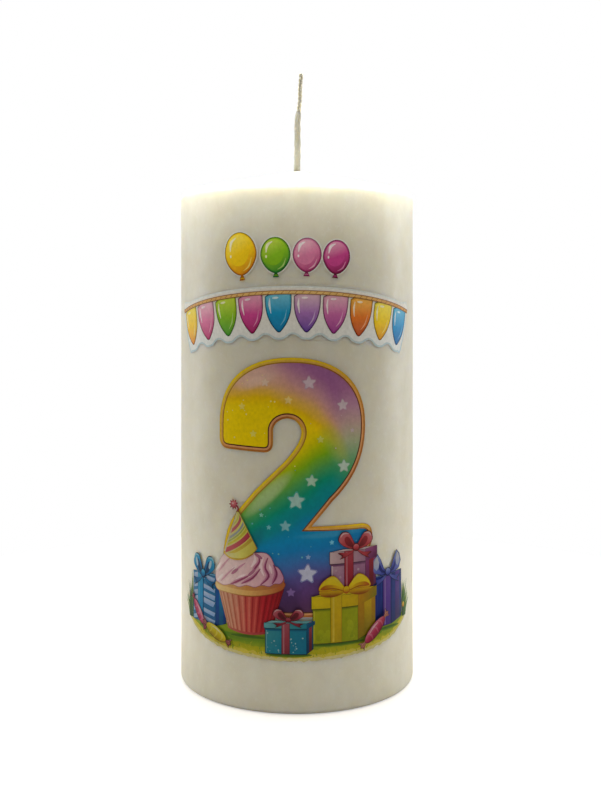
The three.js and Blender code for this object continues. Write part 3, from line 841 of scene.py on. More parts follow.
class Film:
    """One film: closed layers of ink, one above another, bent round the wax and joined in one piece.

    Its tone is the purity and strength that deepen its colours.
    """

    def __init__(self, name, slot, node, tone=(0, 1)):
        self.name, self.slot, self.node, self.tone = name, slot, node, tone
        self.vertices, self.faces, self.indices, self.materials, self.shades = [], [], [], [], []

    def add(self, outline, level, colours, start=None, end=None):
        """A layer of one outline. Its ink is a material, or colours that fade from start to end.

        Colours are a list of codes, or codes in one string. Without a start and an end they fade downwards.
        """
        points = anticlockwise(outline)
        if not isinstance(colours, bpy.types.Material):
            heights = [p.y for p in points]
            codes = colours.split() if isinstance(colours, str) else colours
            codes = [deepened(code, *self.tone) for code in codes]
            colours = ink(codes, start or (0, max(heights)), end or (0, min(heights)))
        flat = bmesh.new()
        flat.faces.new([flat.verts.new((x, y, 0)) for x, y in points])
        self.lay(flat, level, colours)

    def band(self, outline, outer, inner, level, material, light):
        """A band inside an outline, between two insets, shaded by how far it faces the light."""
        points = anticlockwise(outline)
        inward = normals(points)
        flat = bmesh.new()
        shade = flat.verts.layers.float.new("shade")
        rows = []
        for distance in (outer, inner):
            row = []
            for point, normal in zip(points, inward):
                vertex = flat.verts.new((*(point + normal * distance), 0))
                vertex[shade] = 0.5 - 0.5 * normal.normalized().dot(light)
                row.append(vertex)
            rows.append(row)
        for i in range(len(points)):
            k = (i + 1) % len(points)
            flat.faces.new((rows[0][i], rows[0][k], rows[1][k], rows[1][i]))
        self.lay(flat, level, material)

    def lay(self, flat, level, material):
        """Bends a flat mesh round the wax as a closed layer."""
        xs = [v.co.x for v in flat.verts]
        for line in range(math.ceil(min(xs) / STRIP), math.floor(max(xs) / STRIP) + 1):
            parts = [*flat.verts, *flat.edges, *flat.faces]
            bmesh.ops.bisect_plane(flat, geom=parts, dist=1e-4, plane_co=(line * STRIP, 0, 0),
                                   plane_no=(1, 0, 0))
        bmesh.ops.triangulate(flat, faces=flat.faces[:], ngon_method="EAR_CLIP")
        flat.verts.index_update()
        shade = flat.verts.layers.float.get("shade")
        start, count = len(self.vertices), len(flat.verts)
        inside = RADIUS + FILM_START + level * LEVEL
        for radius in (inside, inside + INK):
            for v in flat.verts:
                angle = v.co.x / RADIUS
                self.vertices.append((radius * MM * math.sin(angle), -radius * MM * math.cos(angle),
                                      v.co.y * MM))
                self.shades.append(v[shade] if shade is not None else 0.0)
        before = len(self.faces)
        for face in flat.faces:
            corners = [start + v.index for v in face.verts]
            self.faces.append(tuple(c + count for c in corners))
            self.faces.append(tuple(reversed(corners)))
            for loop in face.loops:
                if loop.edge.is_boundary:
                    a, b = start + loop.vert.index, start + loop.link_loop_next.vert.index
                    self.faces.append((a, b, b + count, a + count))
        if material not in self.materials:
            self.materials.append(material)
        self.indices += [self.materials.index(material)] * (len(self.faces) - before)
        flat.free()

    def finish(self):
        """Makes the film's object, with its shade if any layer has one."""
        obj = piece(self.name, self.vertices, self.faces, self.materials, [self.node],
                    self.indices)
        if any(self.shades):
            attribute = obj.data.attributes.new("shade", "FLOAT", "POINT")
            attribute.data.foreach_set("value", self.shades)


def stamp(film, level, x, y, turn, fade, wide=1.0, high=1.0):
    """A function that adds outlines drawn about (0, 0) to a film: scaled, turned and moved.

    They lie on layers from the level up. Their colours fade between two places, which are scaled, turned and
    moved with them.
    """
    def add(outline, up, colours, start=fade[0], end=fade[1]):
        ends = placed([start, end], x, y, turn, wide, high)
        film.add(placed(outline, x, y, turn, wide, high), level + up, colours, *ends)

    return add


# --- The numeral

RIM = 1.3


def numeral_outline():
    """The numeral 2 as one fat rounded stroke, its counter opening to the left."""
    centre, foot, top, half, stroke = -1.4, 22.8, 83.2, 18.4, 14.2
    left, right = centre - half, centre + half
    bowl, arm, bar = top - 16, top - 22.2, foot + 21.1
    line = [Vector((left + 1.1, foot + 2.8))]

    def go(*points):
        """Goes on to the last point: straight, or bending towards one or two points before it."""
        if len(points) == 1:
            line.append(Vector(points[0]))
        elif len(points) == 2:
            start, control, end = line[-1], *points
            line.extend(bezier(start, blend(start, control, 2 / 3), blend(end, control, 2 / 3), end, 7))
        else:
            line.extend(bezier(line[-1], *points))

    go((left + 1.1, foot), (left + 3.9, foot))
    go((right - 2.2, foot))
    go((right + 0.6, foot), (right + 0.6, foot + 2.8))
    go((right + 0.6, bar - 8))
    go((right + 0.6, bar - 6.4), (right + 2.2, bar - 5.4), (right + 2.2, bar - 3.4))
    go((right + 2.2, bar + 0.3), (right - 2, bar))
    go((centre + 4.8, bar))
    go((centre + 9.8, bar + 5.7))
    go((right - 2.8, bar + 10.9), (right, bar + 16.3), (right, bowl))
    for i in range(1, 32):
        angle = math.pi * i / 32
        across = math.copysign(abs(math.cos(angle)) ** 0.91, math.cos(angle))
        go((centre + half * across, bowl + (top - bowl) * math.sin(angle) ** 0.91))
    go((left, bowl))
    go((left, arm + 3.3))
    go((left, arm + 0.5), (left + 2.8, arm + 0.4))
    go((left + stroke - 2.2, arm))
    go((left + stroke, arm + 0.1), (left + stroke, arm + 2.4))
    go((left + stroke, bowl - 1.2))
    go((left + stroke, bowl + 0.6), (left + stroke + 1.6, top - stroke), (centre - 0.8, top - stroke))
    go((centre + 1.2, top - stroke), (centre + 2.4, bowl + 0.2), (centre + 2.4, bowl - 1.4))
    go((centre + 2.4, bowl - 3.4), (centre + 0.5, bowl - 6), (centre - 1.7, bowl - 8.4))
    go((centre - 8.6, bowl - 15.1))
    go((left + 6.1, bar + 4))
    go((left + 2.8, bar + 0.7), (left + 1.1, bar - 3.9), (left + 1.1, bar - 9.9))
    return anticlockwise(line)


def inside(point, outline):
    """True if the point lies within the outline."""
    within = False
    for a, b in zip(outline, outline[1:] + outline[:1]):
        if (a.y > point.y) != (b.y > point.y):
            within ^= point.x < a.x + (b.x - a.x) * (point.y - a.y) / (b.y - a.y)
    return within


STARS = [  # x, y, size, tint, and the tint of the soft haze round it
    (2.8, 77.3, 3.3, "#D0BCC8", "#BE9CB0"), (10.9, 72.0, 2.9, "#CEBEC6", "#BE9CB2"),
    (11.2, 57.7, 3.2, "#BCD2C4", "#86B69A"), (3.4, 54.5, 3.1, "#A8CCB4", "#5CAE8C"),
    (-0.2, 49.9, 4.3, "#A0C8C0", "#4EA89E"), (-2.7, 44.0, 2.8, "#80BCC4", "#3CA0AC"),
    (-10.4, 65.3, 1.9, "#ECDE5E", "#ECD62C"), (-13.3, 71.6, 1.9, "#EEDA62", "#ECD234"),
    (5.5, 64.1, 1.9, "#D4D868", "#C2C83A"), (-2.0, 73.3, 2.1, "#ECD080", "#E4C050"),
    (-7.5, 77.4, 2.1, "#E6CCB6", "#E0BEA0"), (2.4, 32.9, 4.7, "#BABED6", "#7C80B4"),
    (-1.4, 28.6, 2.1, "#7E62A0", "#6A4C88"), (8.2, 40.0, 1.3, "#70BCDA", "#2C9AC8"),
    (2.6, 36.8, 1.3, "#86A8D0", "#527EBA"), (-6.6, 43.6, 1.3, "#6CBCC4", "#30A0A4"),
    (-8.4, 46.4, 1.2, "#7CC4AC", "#3CA888"), (13.4, 66.0, 1.1, "#CABCC0", "#C0AAB0"),
]


def make_numeral():
    """The golden rim, lit from the upper left, and the rainbow face with its stars and specks."""
    outline = numeral_outline()
    light = Vector((-0.6, 0.8))
    rim = Film("numeral_rim", "film_gold", "numeral_rim_film")
    rim.add(outline, 0, "#DDB93C #B4703A", (-16, 80), (14, 30))
    rim.band(outline, 0.08, 0.6, 1, shaded_ink("ink_rim", "#A6602F #C88638 #E2B62C #F0D424"), light)
    rim.band(outline, 0.52, 0.96, 2, shaded_ink("ink_rim_light", "#DDA070 #E2A45C #DDA850 #E0BC48"), light)
    rim.finish()

    film = Film("numeral_rainbow", "film_rainbow", "numeral_film")
    film.add(inset(outline, 0.98), 3, rainbow_ink())
    film.band(outline, 0.98, 1.26, 4, shaded_ink("ink_rim_line", "#4A2A1E #6A3C26 #985C2A #B08430"), light)
    for x, y, size, tint, haze in STARS:
        turn = 90 + 4 * math.sin(x * 7)
        film.add(star(x, y, size * 1.07, turn, 0.58), 4, haze)
        film.add(star(x, y, size * 0.9, turn, 0.54), 5, tint)
    dots = random.Random(5)
    within = inset(outline, RIM + 0.6)
    left_to_do = 40
    while left_to_do:
        spot = Vector((dots.uniform(-18, 16), dots.uniform(30, 81)))
        clear = all((spot - Vector((x, y))).length > size * 0.6 for x, y, size, *_ in STARS)
        if clear and inside(spot, within):
            size = dots.choice((0.1, 0.12, 0.16, 0.22))
            tint = "#5CB0B4" if spot.y < 57 else "#F2E48C" if spot.x < 0 else "#CCB4C0"
            film.add(oval(spot.x, spot.y, size, size, count=8), 5, tint)
            left_to_do -= 1
    film.finish()


# --- Garland and balloons

GARLAND = {"centre": -1.0, "top": 98.4, "sag": 0.0038, "pitch": 6.9, "width": 6.3, "height": 9.4}
FLAGS = [  # slot, and the colours of its fade from top to bottom
    ("film_yellow", "#FFE93C #FFD21E #F08A28"),
    ("film_pink", "#F4BFD0 #E680AE #C22F6E"),
    ("film_green", "#C6E234 #8CC62C #3E9E34"),
    ("film_magenta", "#F0A8C4 #D8509C #A81E62"),
    ("film_blue", "#6FD0EC #1FA0D4 #0E7AB8"),
    ("film_violet", "#EDC6D4 #B07CC4 #5A3AA4"),
    ("film_lilac", "#F2BACC #D272B2 #9A3490"),
    ("film_orange", "#FFC04A #EC8030 #C4502C"),
    ("film_yellow", "#FFEE48 #FFDC22 #EE9A2A"),
    ("film_blue", "#62C8F0 #1C9ADA #1068BC"),
]


def garland_height(x):
    """The height of the cord at a distance round the wax."""
    return GARLAND["top"] - GARLAND["sag"] * (x - GARLAND["centre"]) ** 2


def make_garland():
    """Ten pennants, drawn glossy with painted highlights, on a cord, over a pale backing with a scalloped
    edge.
    """
    pitch, width, height = GARLAND["pitch"], GARLAND["width"], GARLAND["height"]
    places = []
    for i in range(len(FLAGS)):
        x = GARLAND["centre"] + (i - (len(FLAGS) - 1) / 2) * pitch
        slope = -2 * GARLAND["sag"] * (x - GARLAND["centre"])
        places.append((x, garland_height(x), math.degrees(math.atan(slope))))

    ends = (places[0][0] - 4.6, places[-1][0] + 4.6)
    upper = [ends[0] + (ends[1] - ends[0]) * i / 16 for i in range(17)]
    upper = [(x, garland_height(x) + 1.5) for x in upper]
    lower = []
    for x, y, turn in places:
        lower += placed([(-2.6, -height - 0.5), (-1.2, -height - 1.4), (0, -height - 1.6),
                         (1.2, -height - 1.4), (2.6, -height - 0.5)], x, y, turn)
    halo = spline([*lower, *upper[::-1]], 3)
    backing = Film("garland_backing", "film_halo", "garland_backing_film")
    # The outer layer turns bluer and darker towards its lower edge: a painted drop shadow under the pale
    # backing.
    backing.add(halo, 0, "#E3E9E4 #C4DCE4", (0, 96), (0, 84))
    backing.add(inset(halo, 0.45), 1, "#F2F1E8 #EAF1F0", (0, 96), (0, 84))
    backing.finish()

    half = width / 2
    for i, ((slot, fade), (x, y, turn)) in enumerate(zip(FLAGS, places)):
        colours = fade.split()
        low = -height * 0.97
        wide, narrow = (half * 1.03, -height * 0.4), (half * 0.98, -height * 0.66)
        shape = [*bezier((-half, 0), (-wide[0], wide[1]), (-narrow[0], narrow[1]), (-0.5, low)),
                 *bezier((-0.5, low), (-0.2, -height), (0.2, -height), (0.5, low), 4),
                 *bezier((0.5, low), narrow, wide, (half, 0)),
                 Vector((half * 0.5, 0.12)), Vector((-half * 0.5, 0.12))]
        flag = Film(f"pennant_{i + 1:02d}", slot, f"pennant_film_{i + 1:02d}")

        def lay(outline, level, colour):
            flag.add(placed(outline, x, y, turn), level, colour, (x, y), (x, y - height))

        lay(shape, 2, [darker(c, 0.55) for c in colours])
        lay(inset(shape, 0.24), 3, [darker(colours[0], 0.92), *colours[1:]])
        lay(inset(shape, 0.55), 4, [lighter(colours[0], 0.12), colours[1], lighter(colours[2], 0.1)])
        # Painted highlights: a pale stroke down the upper left, a pale spot near the top and a paler stroke
        # at the lower right.
        lay(ribbon([(-half * 0.62, -1.3), (-half * 0.66, -height * 0.3), (-half * 0.55, -height * 0.52)],
                   [0.12, 0.5, 0.1]), 5, lighter(colours[0], 0.75))
        lay(oval(-half * 0.2, -1.25, 0.75, 0.26, 4), 5, lighter(colours[0], 0.7))
        lay(ribbon([(half * 0.62, -height * 0.42), (half * 0.45, -height * 0.66),
                    (half * 0.12, -height * 0.82)],
                   [0.05, 0.34, 0.05]), 5, lighter(colours[1], 0.4))
        flag.finish()

    cord = Film("garland_string", "film_string", "garland_string_film")
    line = [ends[0] + 0.7 + (ends[1] - ends[0] - 1.4) * i / 12 for i in range(13)]
    line = [(x, garland_height(x)) for x in line]
    cord.add(ribbon(line, [0.95, 0.95], 4), 6, "#8A5A34 #A87444 #8A5A34", (-36, 0), (36, 0))
    cord.add(ribbon(line, [0.6, 0.6], 4), 7, "#E0A85C #F2CE84 #D89A50", (-36, 0), (36, 0))
    for i in range(44):
        x = ends[0] + 1.4 + (ends[1] - ends[0] - 2.8) * i / 43
        cord.add(placed([(-0.34, -0.24), (-0.2, -0.27), (0.34, 0.24), (0.2, 0.27)], x, garland_height(x)),
                 8, "#A8713A")
    cord.finish()


BALLOONS = [  # name, slot, place round the wax, foot, width, height, tilt, colours from light to dark
    ("yellow", "film_yellow", -13.2, 101.2, 8.6, 11.4, 6, "#FFF05A #FFD81E #E88A1E"),
    ("green", "film_green", -4.9, 101.9, 7.2, 9.4, 2, "#D6EC4A #8CC828 #2E8E3A"),
    ("pink", "film_pink", 2.2, 102.1, 6.8, 9.0, -2, "#F8C8D8 #E486B0 #B83A7A"),
    ("magenta", "film_magenta", 9.0, 101.7, 6.8, 9.0, -5, "#F2B0CC #CC4A92 #8A1E52"),
]


def make_balloons():
    """Four balloons, drawn glossy with painted highlights and shade, narrower towards their knots."""
    for name, slot, x, foot, width, height, tilt, colours in BALLOONS:
        light, mid, dark = colours.split()
        film = Film(f"balloon_{name}", slot, f"balloon_{name}_film")
        body = height * 0.9
        shape = []
        for i in range(36):
            angle = 2 * math.pi * i / 36 - math.pi / 2
            narrow = 1 - 0.2 * max(0.0, -math.sin(angle)) ** 1.5
            rise = height * 0.1 + body * (0.5 + 0.5 * math.sin(angle))
            shape.append((width / 2 * math.cos(angle) * narrow, rise))
        knot = [(-0.75, 0), (0.75, 0), (0.22, height * 0.13), (-0.22, height * 0.13)]

        # The fills fade from light at the upper left to dark at the lower right: painted light and shade.
        lay = stamp(film, 0, x, foot, tilt, ((-width * 0.3, height), (width * 0.25, height * 0.1)))
        lay(inset(shape, -0.28), 0, "#F3F2E8")
        lay(knot, 1, darker(dark, 0.75))
        lay(shape, 1, [darker(mid, 0.6), darker(dark, 0.62)])
        lay(inset(shape, 0.24), 2, [mid, dark])
        lay(inset(shape, 0.5), 3, [light, mid, dark])
        # Painted highlights: a pale oval over the upper part, a stroke and a spot at the upper left, and a
        # paler stroke at the lower right.
        lay(placed(oval(0, 0, width * 0.34, body * 0.36, count=24), -width * 0.06, height * 0.62), 4,
            [lighter(light, 0.1), mid, mid])
        lay(ribbon([(-width * 0.3, height * 0.62), (-width * 0.25, height * 0.8),
                    (-width * 0.08, height * 0.89)],
                   [0.15, 0.7, 0.15]), 5, lighter(light, 0.75))
        lay(oval(-width * 0.3, height * 0.52, 0.22, 0.34), 5, lighter(light, 0.7))
        lay(ribbon([(width * 0.34, height * 0.46), (width * 0.24, height * 0.28),
                    (width * 0.06, height * 0.19)],
                   [0.08, 0.4, 0.08]), 5, lighter(mid, 0.35))
        lay(ribbon([(-0.5, 0.35), (0, 0.5), (0.5, 0.35)], [0.1, 0.22, 0.1]), 2, mid)
        film.finish()


# --- Gifts

def bow(film, level, x, y, width, height, colours, turn=0.0, upright=0.0, pointed=False):
    """A ribbon bow: two tails, two round or pointed loops with their insides in painted shade and a painted
    highlight, and the knot.
    """
    light, mid, dark = colours.split()
    line = darker(dark, 0.6)
    shine = [(0.6, 0.62), (0.72, 0.94), (0.84, 0.7)] if pointed else [(0.42, 0.9), (0.72, 0.92), (0.88, 0.7)]
    for side in (-1, 1):
        tail = spline([(0, 0), (0.5, -0.22), (0.98, -0.22), (0.74, -0.42), (0.86, -0.6), (0.36, -0.36)], 3)
        loop = spline([(0.02, 0), (0.2, 0.5 + 0.2 * upright), (0.52 - 0.1 * upright, 1.0),
                       (0.9 - 0.15 * upright, 0.95), (1.02 - 0.1 * upright, 0.5),
                       (0.66 - 0.16 * upright, 0.12)], 4)
        shaded_fold = spline([(0.16, 0.12), (0.3, 0.5), (0.52 - 0.06 * upright, 0.74), (0.7 - 0.1 * upright, 0.6),
                       (0.56 - 0.12 * upright, 0.24)], 4)
        if pointed:
            loop = [(0, 0), (0.26, 0.34), (0.44, 0.78), (0.66, 1.14), (0.92, 0.88), (1.04, 0.5),
                    (0.88, 0.14), (0.4, -0.04)]
            shaded_fold = [(0.1, 0.04), (0.38, 0.3), (0.56, 0.66), (0.62, 0.5), (0.56, 0.3), (0.42, 0.12)]

        lay = stamp(film, level, x, y, turn, ((0, 1), (0, -0.4)), side * width, height)
        lay(tail, 0, line)
        lay(placed(tail, 0.05, -0.015, 0, 0.86, 0.86), 1, [mid, dark], (0, 0), (1, -0.5))
        lay(loop, 1, line)
        # The loop fades from light at its outer top to dark at the knot, painted light and shade; the shaded
        # fold is painted shade inside it and the shine a painted highlight.
        lay(placed(loop, 0.04, 0.035, 0, 0.92, 0.92), 2, [light, mid, dark], (0.8, 1), (0.1, 0))
        lay(shaded_fold, 3, [dark, darker(dark, 0.7)], (0.6, 0.8), (0.2, 0))
        lay(ribbon(shine, [0.02, 0.11, 0.02], 4), 3, lighter(light, 0.5))
    film.add(oval(x, y + height * 0.1, width * 0.21, height * 0.23, turn), level + 4, line)
    film.add(oval(x, y + height * 0.11, width * 0.16, height * 0.18, turn), level + 5, [light, mid, dark])


def wide_bow(film, level, x, y, width, height, colours):
    """A bow whose loops lie out to both sides like leaves, with their undersides, in painted shade, below
    them.
    """
    light, mid, dark = colours.split()
    for side in (-1, 1):
        under = spline([(0.05, -0.04), (0.5, 0.06), (0.98, 0.06), (0.96, -0.18), (0.7, -0.3),
                        (0.35, -0.26)], 4)
        loop = spline([(0.02, 0), (0.16, 0.4), (0.44, 0.86), (0.68, 0.82), (0.94, 0.5), (1.04, 0.1),
                       (0.72, 0.04), (0.4, 0.1)], 4)
        shaded_fold = spline([(0.1, 0.04), (0.4, 0.34), (0.78, 0.38), (0.98, 0.14), (0.6, 0.1)], 4)

        lay = stamp(film, level, x, y, 0, ((0, 0.9), (0, -0.1)), side * width, height)
        # The undersides and the shaded fold are painted shade, the pale stroke is a painted highlight and the
        # dark stroke along each loop's lower edge painted shade.
        lay(under, 0, [mid, darker(dark, 0.8)], (0, 0.1), (0, -0.3))
        lay(loop, 1, dark)
        lay(placed(loop, 0.02, 0.025, 0, 0.955, 0.93), 2, [lighter(light, 0.15), light, mid])
        lay(shaded_fold, 3, [mid, dark], (0.3, 0.4), (0.9, 0))
        lay(ribbon([(0.22, 0.42), (0.46, 0.76), (0.7, 0.7)], [0.02, 0.05, 0.01], 4), 3, lighter(light, 0.4))
        lay(ribbon([(0.12, 0.02), (0.5, 0.18), (0.9, 0.16)], [0.03, 0.05, 0.01], 4), 4, darker(dark, 0.85))
    film.add(oval(x, y + height * 0.05, width * 0.13, height * 0.22), level + 4, dark)
    film.add(oval(x, y + height * 0.07, width * 0.11, height * 0.18), level + 5, [light, mid, dark])


class Box(NamedTuple):
    """A gift as drawn: its lower left corner, its front, its side that slants up by a rise, its height."""
    left: float
    foot: float
    front: float
    side: float
    height: float
    rise: float

    @property
    def corner(self):
        return self.left + self.front

    @property
    def top(self):
        return self.foot + self.height


def rectangle(left, right, foot, top):
    """An upright oblong, anticlockwise from its lower left corner."""
    return [(left, foot), (right, foot), (right, top), (left, top)]


def gift(film, level, box, paper, edge, tape, lid=0.0, tape_width=1.5, middle=None, cover=None):
    """A wrapped box: silhouette, front, side, top, lid and the tape up its front and side.

    Each takes its colours: paper for the front, edge for the side, cover for the lid and the top, and tape.
    The side's darker colours are painted shade and the top's lighter ones painted light.
    """
    paper, edge, tape = paper.split(), edge.split(), tape.split()
    cover = cover.split() if cover else [lighter(paper[0], 0.25), paper[0], paper[1]]
    left, foot, corner, top = box.left, box.foot, box.corner, box.top
    side, rise = box.side, box.rise
    right, lift = corner + side, rise * 0.5

    film.add([(left, foot), (corner, foot - 0.05), (right, foot + rise), (right, top + lift),
              (left + side, top + lift), (left, top)], level, darker(edge[-1], 0.62))
    film.add([(left + 0.12, foot + 0.12), (corner - 0.04, foot + 0.1), (corner - 0.04, top - 0.1),
              (left + 0.12, top - 0.1)], level + 1, paper, (left, top), (corner, foot))
    # The side, in darker colours than the front, is painted shade; the top, lighter, is painted light.
    film.add([(corner + 0.06, foot + 0.14), (right - 0.1, foot + rise + 0.1),
              (right - 0.1, top + lift - 0.12), (corner + 0.06, top - 0.1)],
             level + 1, edge, (corner, top), (right, foot))
    film.add([(left + 0.2, top), (corner, top), (right - 0.12, top + lift - 0.05),
              (left + side, top + lift - 0.05)],
             level + 1, [lighter(cover[0], 0.2), cover[0]], (left, top), (right, top))
    # A painted highlight down the front's left edge.
    film.add(ribbon([(left + 0.35, foot + 0.4), (left + 0.35, top - lid - 0.3)], [0.1, 0.3]), level + 2,
             lighter(paper[0], 0.3))

    if lid:
        lip, under = 0.32, top - lid
        film.add(rectangle(left - lip, corner + 0.05, under, top), level + 2, darker(paper[-1], 0.6))
        film.add(rectangle(left - lip + 0.1, corner, under + 0.22, top - 0.08), level + 3, cover, (left, top),
                 (corner, under))
        # The lid's side, in the side's darker colours: painted shade.
        film.add([(corner + 0.1, under + 0.1), (right + lip, under + rise * 0.9), (right + lip, top + lift),
                  (corner + 0.1, top - 0.08)], level + 3, [edge[0], edge[-1]], (corner, top), (right, under))
        # A painted shadow under the lid, dark at its top.
        film.add(rectangle(left, corner, under - 0.45, under), level + 2,
                 [darker(paper[-1], 0.75), paper[-1]], (0, under), (0, under - 0.5))

    middle = left + box.front * 0.5 if middle is None else middle
    half = tape_width / 2
    film.add(rectangle(middle - half - 0.1, middle + half + 0.1, foot + 0.1, top), level + 4,
             darker(tape[-1], 0.7))
    film.add(rectangle(middle - half, middle + half, foot + 0.12, top), level + 5,
             [lighter(tape[0], 0.12), tape[0], tape[-1]], (middle - half, top), (middle + half, foot))
    # A painted highlight down the tape's left side.
    film.add(rectangle(middle - half * 0.7, middle - half * 0.35, foot + 0.3, top - 0.2), level + 6,
             lighter(tape[0], 0.35))
    # The tape on the side, darker downwards: painted shade.
    aside, thin = corner + side * 0.55, min(half, side * 0.2)
    film.add([(aside - thin, foot + rise * 0.45), (aside + thin, foot + rise * 0.7),
              (aside + thin, top + lift * 0.7), (aside - thin, top + lift * 0.45)],
             level + 2, [tape[0], darker(tape[-1], 0.75)])


def make_blue_gift():
    """Blue paper with slanted pale blocks, blue tape and tall loops."""
    film = Film("gift_blue", "film_blue", "gift_blue_film", tone=(0.35, 0.76))
    box = Box(left=-30, foot=18.8, front=9, side=3.2, height=11.8, rise=1)
    left = box.left
    gift(film, 3, box, "#3A8CC0 #2474A5 #1C5C94", "#0E5CA8 #004D9C #003A7C", "#008EC8 #0074B0",
         tape_width=2.1, middle=left + 3.4)
    rough = random.Random(4)
    for i in range(6):
        low = box.foot + 0.5 + i * 1.9 + rough.uniform(-0.2, 0.2)
        thick = rough.uniform(0.9, 1.3)
        film.add([(left + 0.2, low - 0.3), (left + 2.2, low + 0.3), (left + 2.2, low + 0.3 + thick),
                  (left + 0.2, low + thick - 0.3)], 5, "#D8E6FA #B2CEF2")
        reach = box.corner - rough.uniform(0.1, 1.1)
        film.add([(left + 4.7, low + 0.4), (reach, low - 0.2), (box.corner - 0.15, low - 0.2 + thick),
                  (left + 4.7, low + 0.4 + thick)], 5, "#D2E2FA #A2C2F0")
    middle = left + 4.7
    bow(film, 10, middle, box.top - 0.4, 4.5, 4.9, "#5CC0E4 #0084C0 #004C80", 0, 0.9)
    # Painted highlights on the two loops.
    for away in (-2.6, 2.6):
        film.add(oval(middle + away, box.top + 2.5, 0.42, 1.1, -7 * away), 14, "#D4ECF8")
    film.finish()


def make_violet_gift():
    """Deep blue paper with a violet tape and pointed pale loops with painted white highlights."""
    film = Film("gift_violet", "film_violet", "gift_violet_film", tone=(0.3, 0.62))
    box = Box(left=18.2, foot=18.4, front=7.7, side=4.5, height=12, rise=0.9)
    gift(film, 3, box, "#0E3298 #06288A #021E70", "#1A3C98 #0D348B #0A2468", "#603CA4 #4A2C90",
         tape_width=2.7, middle=box.left + 5.8)
    for i in range(3):
        x = box.left + 1.2 + i * 1.3
        film.add(ribbon([(x, box.foot + 0.6), (x + 0.1, box.top - 0.6)], [0.1, 0.34]), 5, "#2C4CA8 #142E88")
    middle, knot = 24.2, box.top + 0.4
    bow(film, 10, middle, knot, 5.4, 4.6, "#B8C8F6 #7480D4 #2434A0", 0, 0.8, True)
    # Painted white highlights inside the two loops.
    loop_highlight = [(0, -1.5), (0.85, -0.7), (0.85, 0.6), (-0.1, 1.8), (-0.9, 0.3), (-0.7, -0.9)]
    for side in (-1, 1):
        film.add(placed(loop_highlight, middle + side * 3.95, knot + 2.75, 0, side), 14, "#FAFAFE #CCD6F8")
    film.finish()


def make_red_gift():
    """Pink paper with a lid, red tape and a full red bow."""
    film = Film("gift_red", "film_red", "gift_red_film", tone=(0.1, 0.7))
    box = Box(left=7.9, foot=28.2, front=9, side=3.2, height=9.6, rise=0.9)
    gift(film, 11, box, "#D8BAC4 #B484A4 #946088", "#A8588E #84386C #602450", "#AC3040 #8A2232", 3, 2.2,
         cover="#E6CCCE #CCA6B2 #B086A2")
    for x, y in ((9.2, 33.4), (10.2, 31.8), (9.4, 30.2), (14.9, 33.2), (15.8, 31.5), (15.0, 30.0)):
        film.add(oval(x, y, 0.3, 0.3, count=12), 13, "#D0AEBE")
    bow(film, 18, 14.2, 38.1, 4.7, 4.0, "#E48C92 #CE525A #A4343C", -3, 0.35)
    film.finish()


def make_yellow_gift():
    """A yellow lid over lime paper with soft patches, golden tape and a big golden bow."""
    film = Film("gift_yellow", "film_yellow", "gift_yellow_film", tone=(0.6, 0.74))
    box = Box(left=3.6, foot=16.6, front=11.1, side=5.1, height=11.1, rise=2)
    gift(film, 20, box, "#B4AE04 #A0A800 #96A200", "#C48A0A #A77C00 #7E7808", "#D2AE00 #BA9F00", 3.1, 2.6,
         cover="#E2CA10 #D8BC00 #CCA800")
    patches = random.Random(7)
    for i in range(12):
        x = box.left + 0.9 + patches.random() * (box.front - 2.4)
        y = box.foot + 1.0 + patches.random() * (box.height - 6.2)
        tints = patches.choice(("#AEB41C #A0AC10", "#98A404 #8E9C04"))
        across, up = 0.7 + 0.8 * patches.random(), 0.5 + 0.5 * patches.random()
        film.add(oval(x, y, across, up, 40 * i, 14), 23 if i % 2 else 22, tints)
    wide_bow(film, 27, box.left + box.front * 0.72, box.top + 0.9, 6.4, 4.2, "#EACE20 #DCB00C #B8600C")
    film.finish()


def make_teal_gift():
    """Teal paper with snowy dots, a red tape and a small red bow."""
    film = Film("gift_teal", "film_teal", "gift_teal_film", tone=(0.3, 0.76))
    box = Box(left=-7.4, foot=14.3, front=9.6, side=1.6, height=7.2, rise=1.2)
    gift(film, 20, box, "#4A9CA4 #1C849C #04759A", "#065E88 #004A70 #00385A", "#A04854 #7E3642", 1.4, 1.7)
    middle = box.left + box.front / 2
    dots = random.Random(11)
    for _ in range(30):
        x = box.left + 0.6 + dots.random() * (box.front - 1.2)
        y = box.foot + 0.5 + dots.random() * (box.height - 2.2)
        size = dots.choice((0.1, 0.14, 0.2))
        if abs(x - middle) > 1.1:
            film.add(oval(x, y, size, size, count=8), 24, "#B4DCE2")
    bow(film, 27, middle + 0.6, box.top + 0.6, 3.6, 2.7, "#C87880 #A03848 #6E1C2A", 0, 0.2)
    film.finish()


# --- Cupcake and party hat

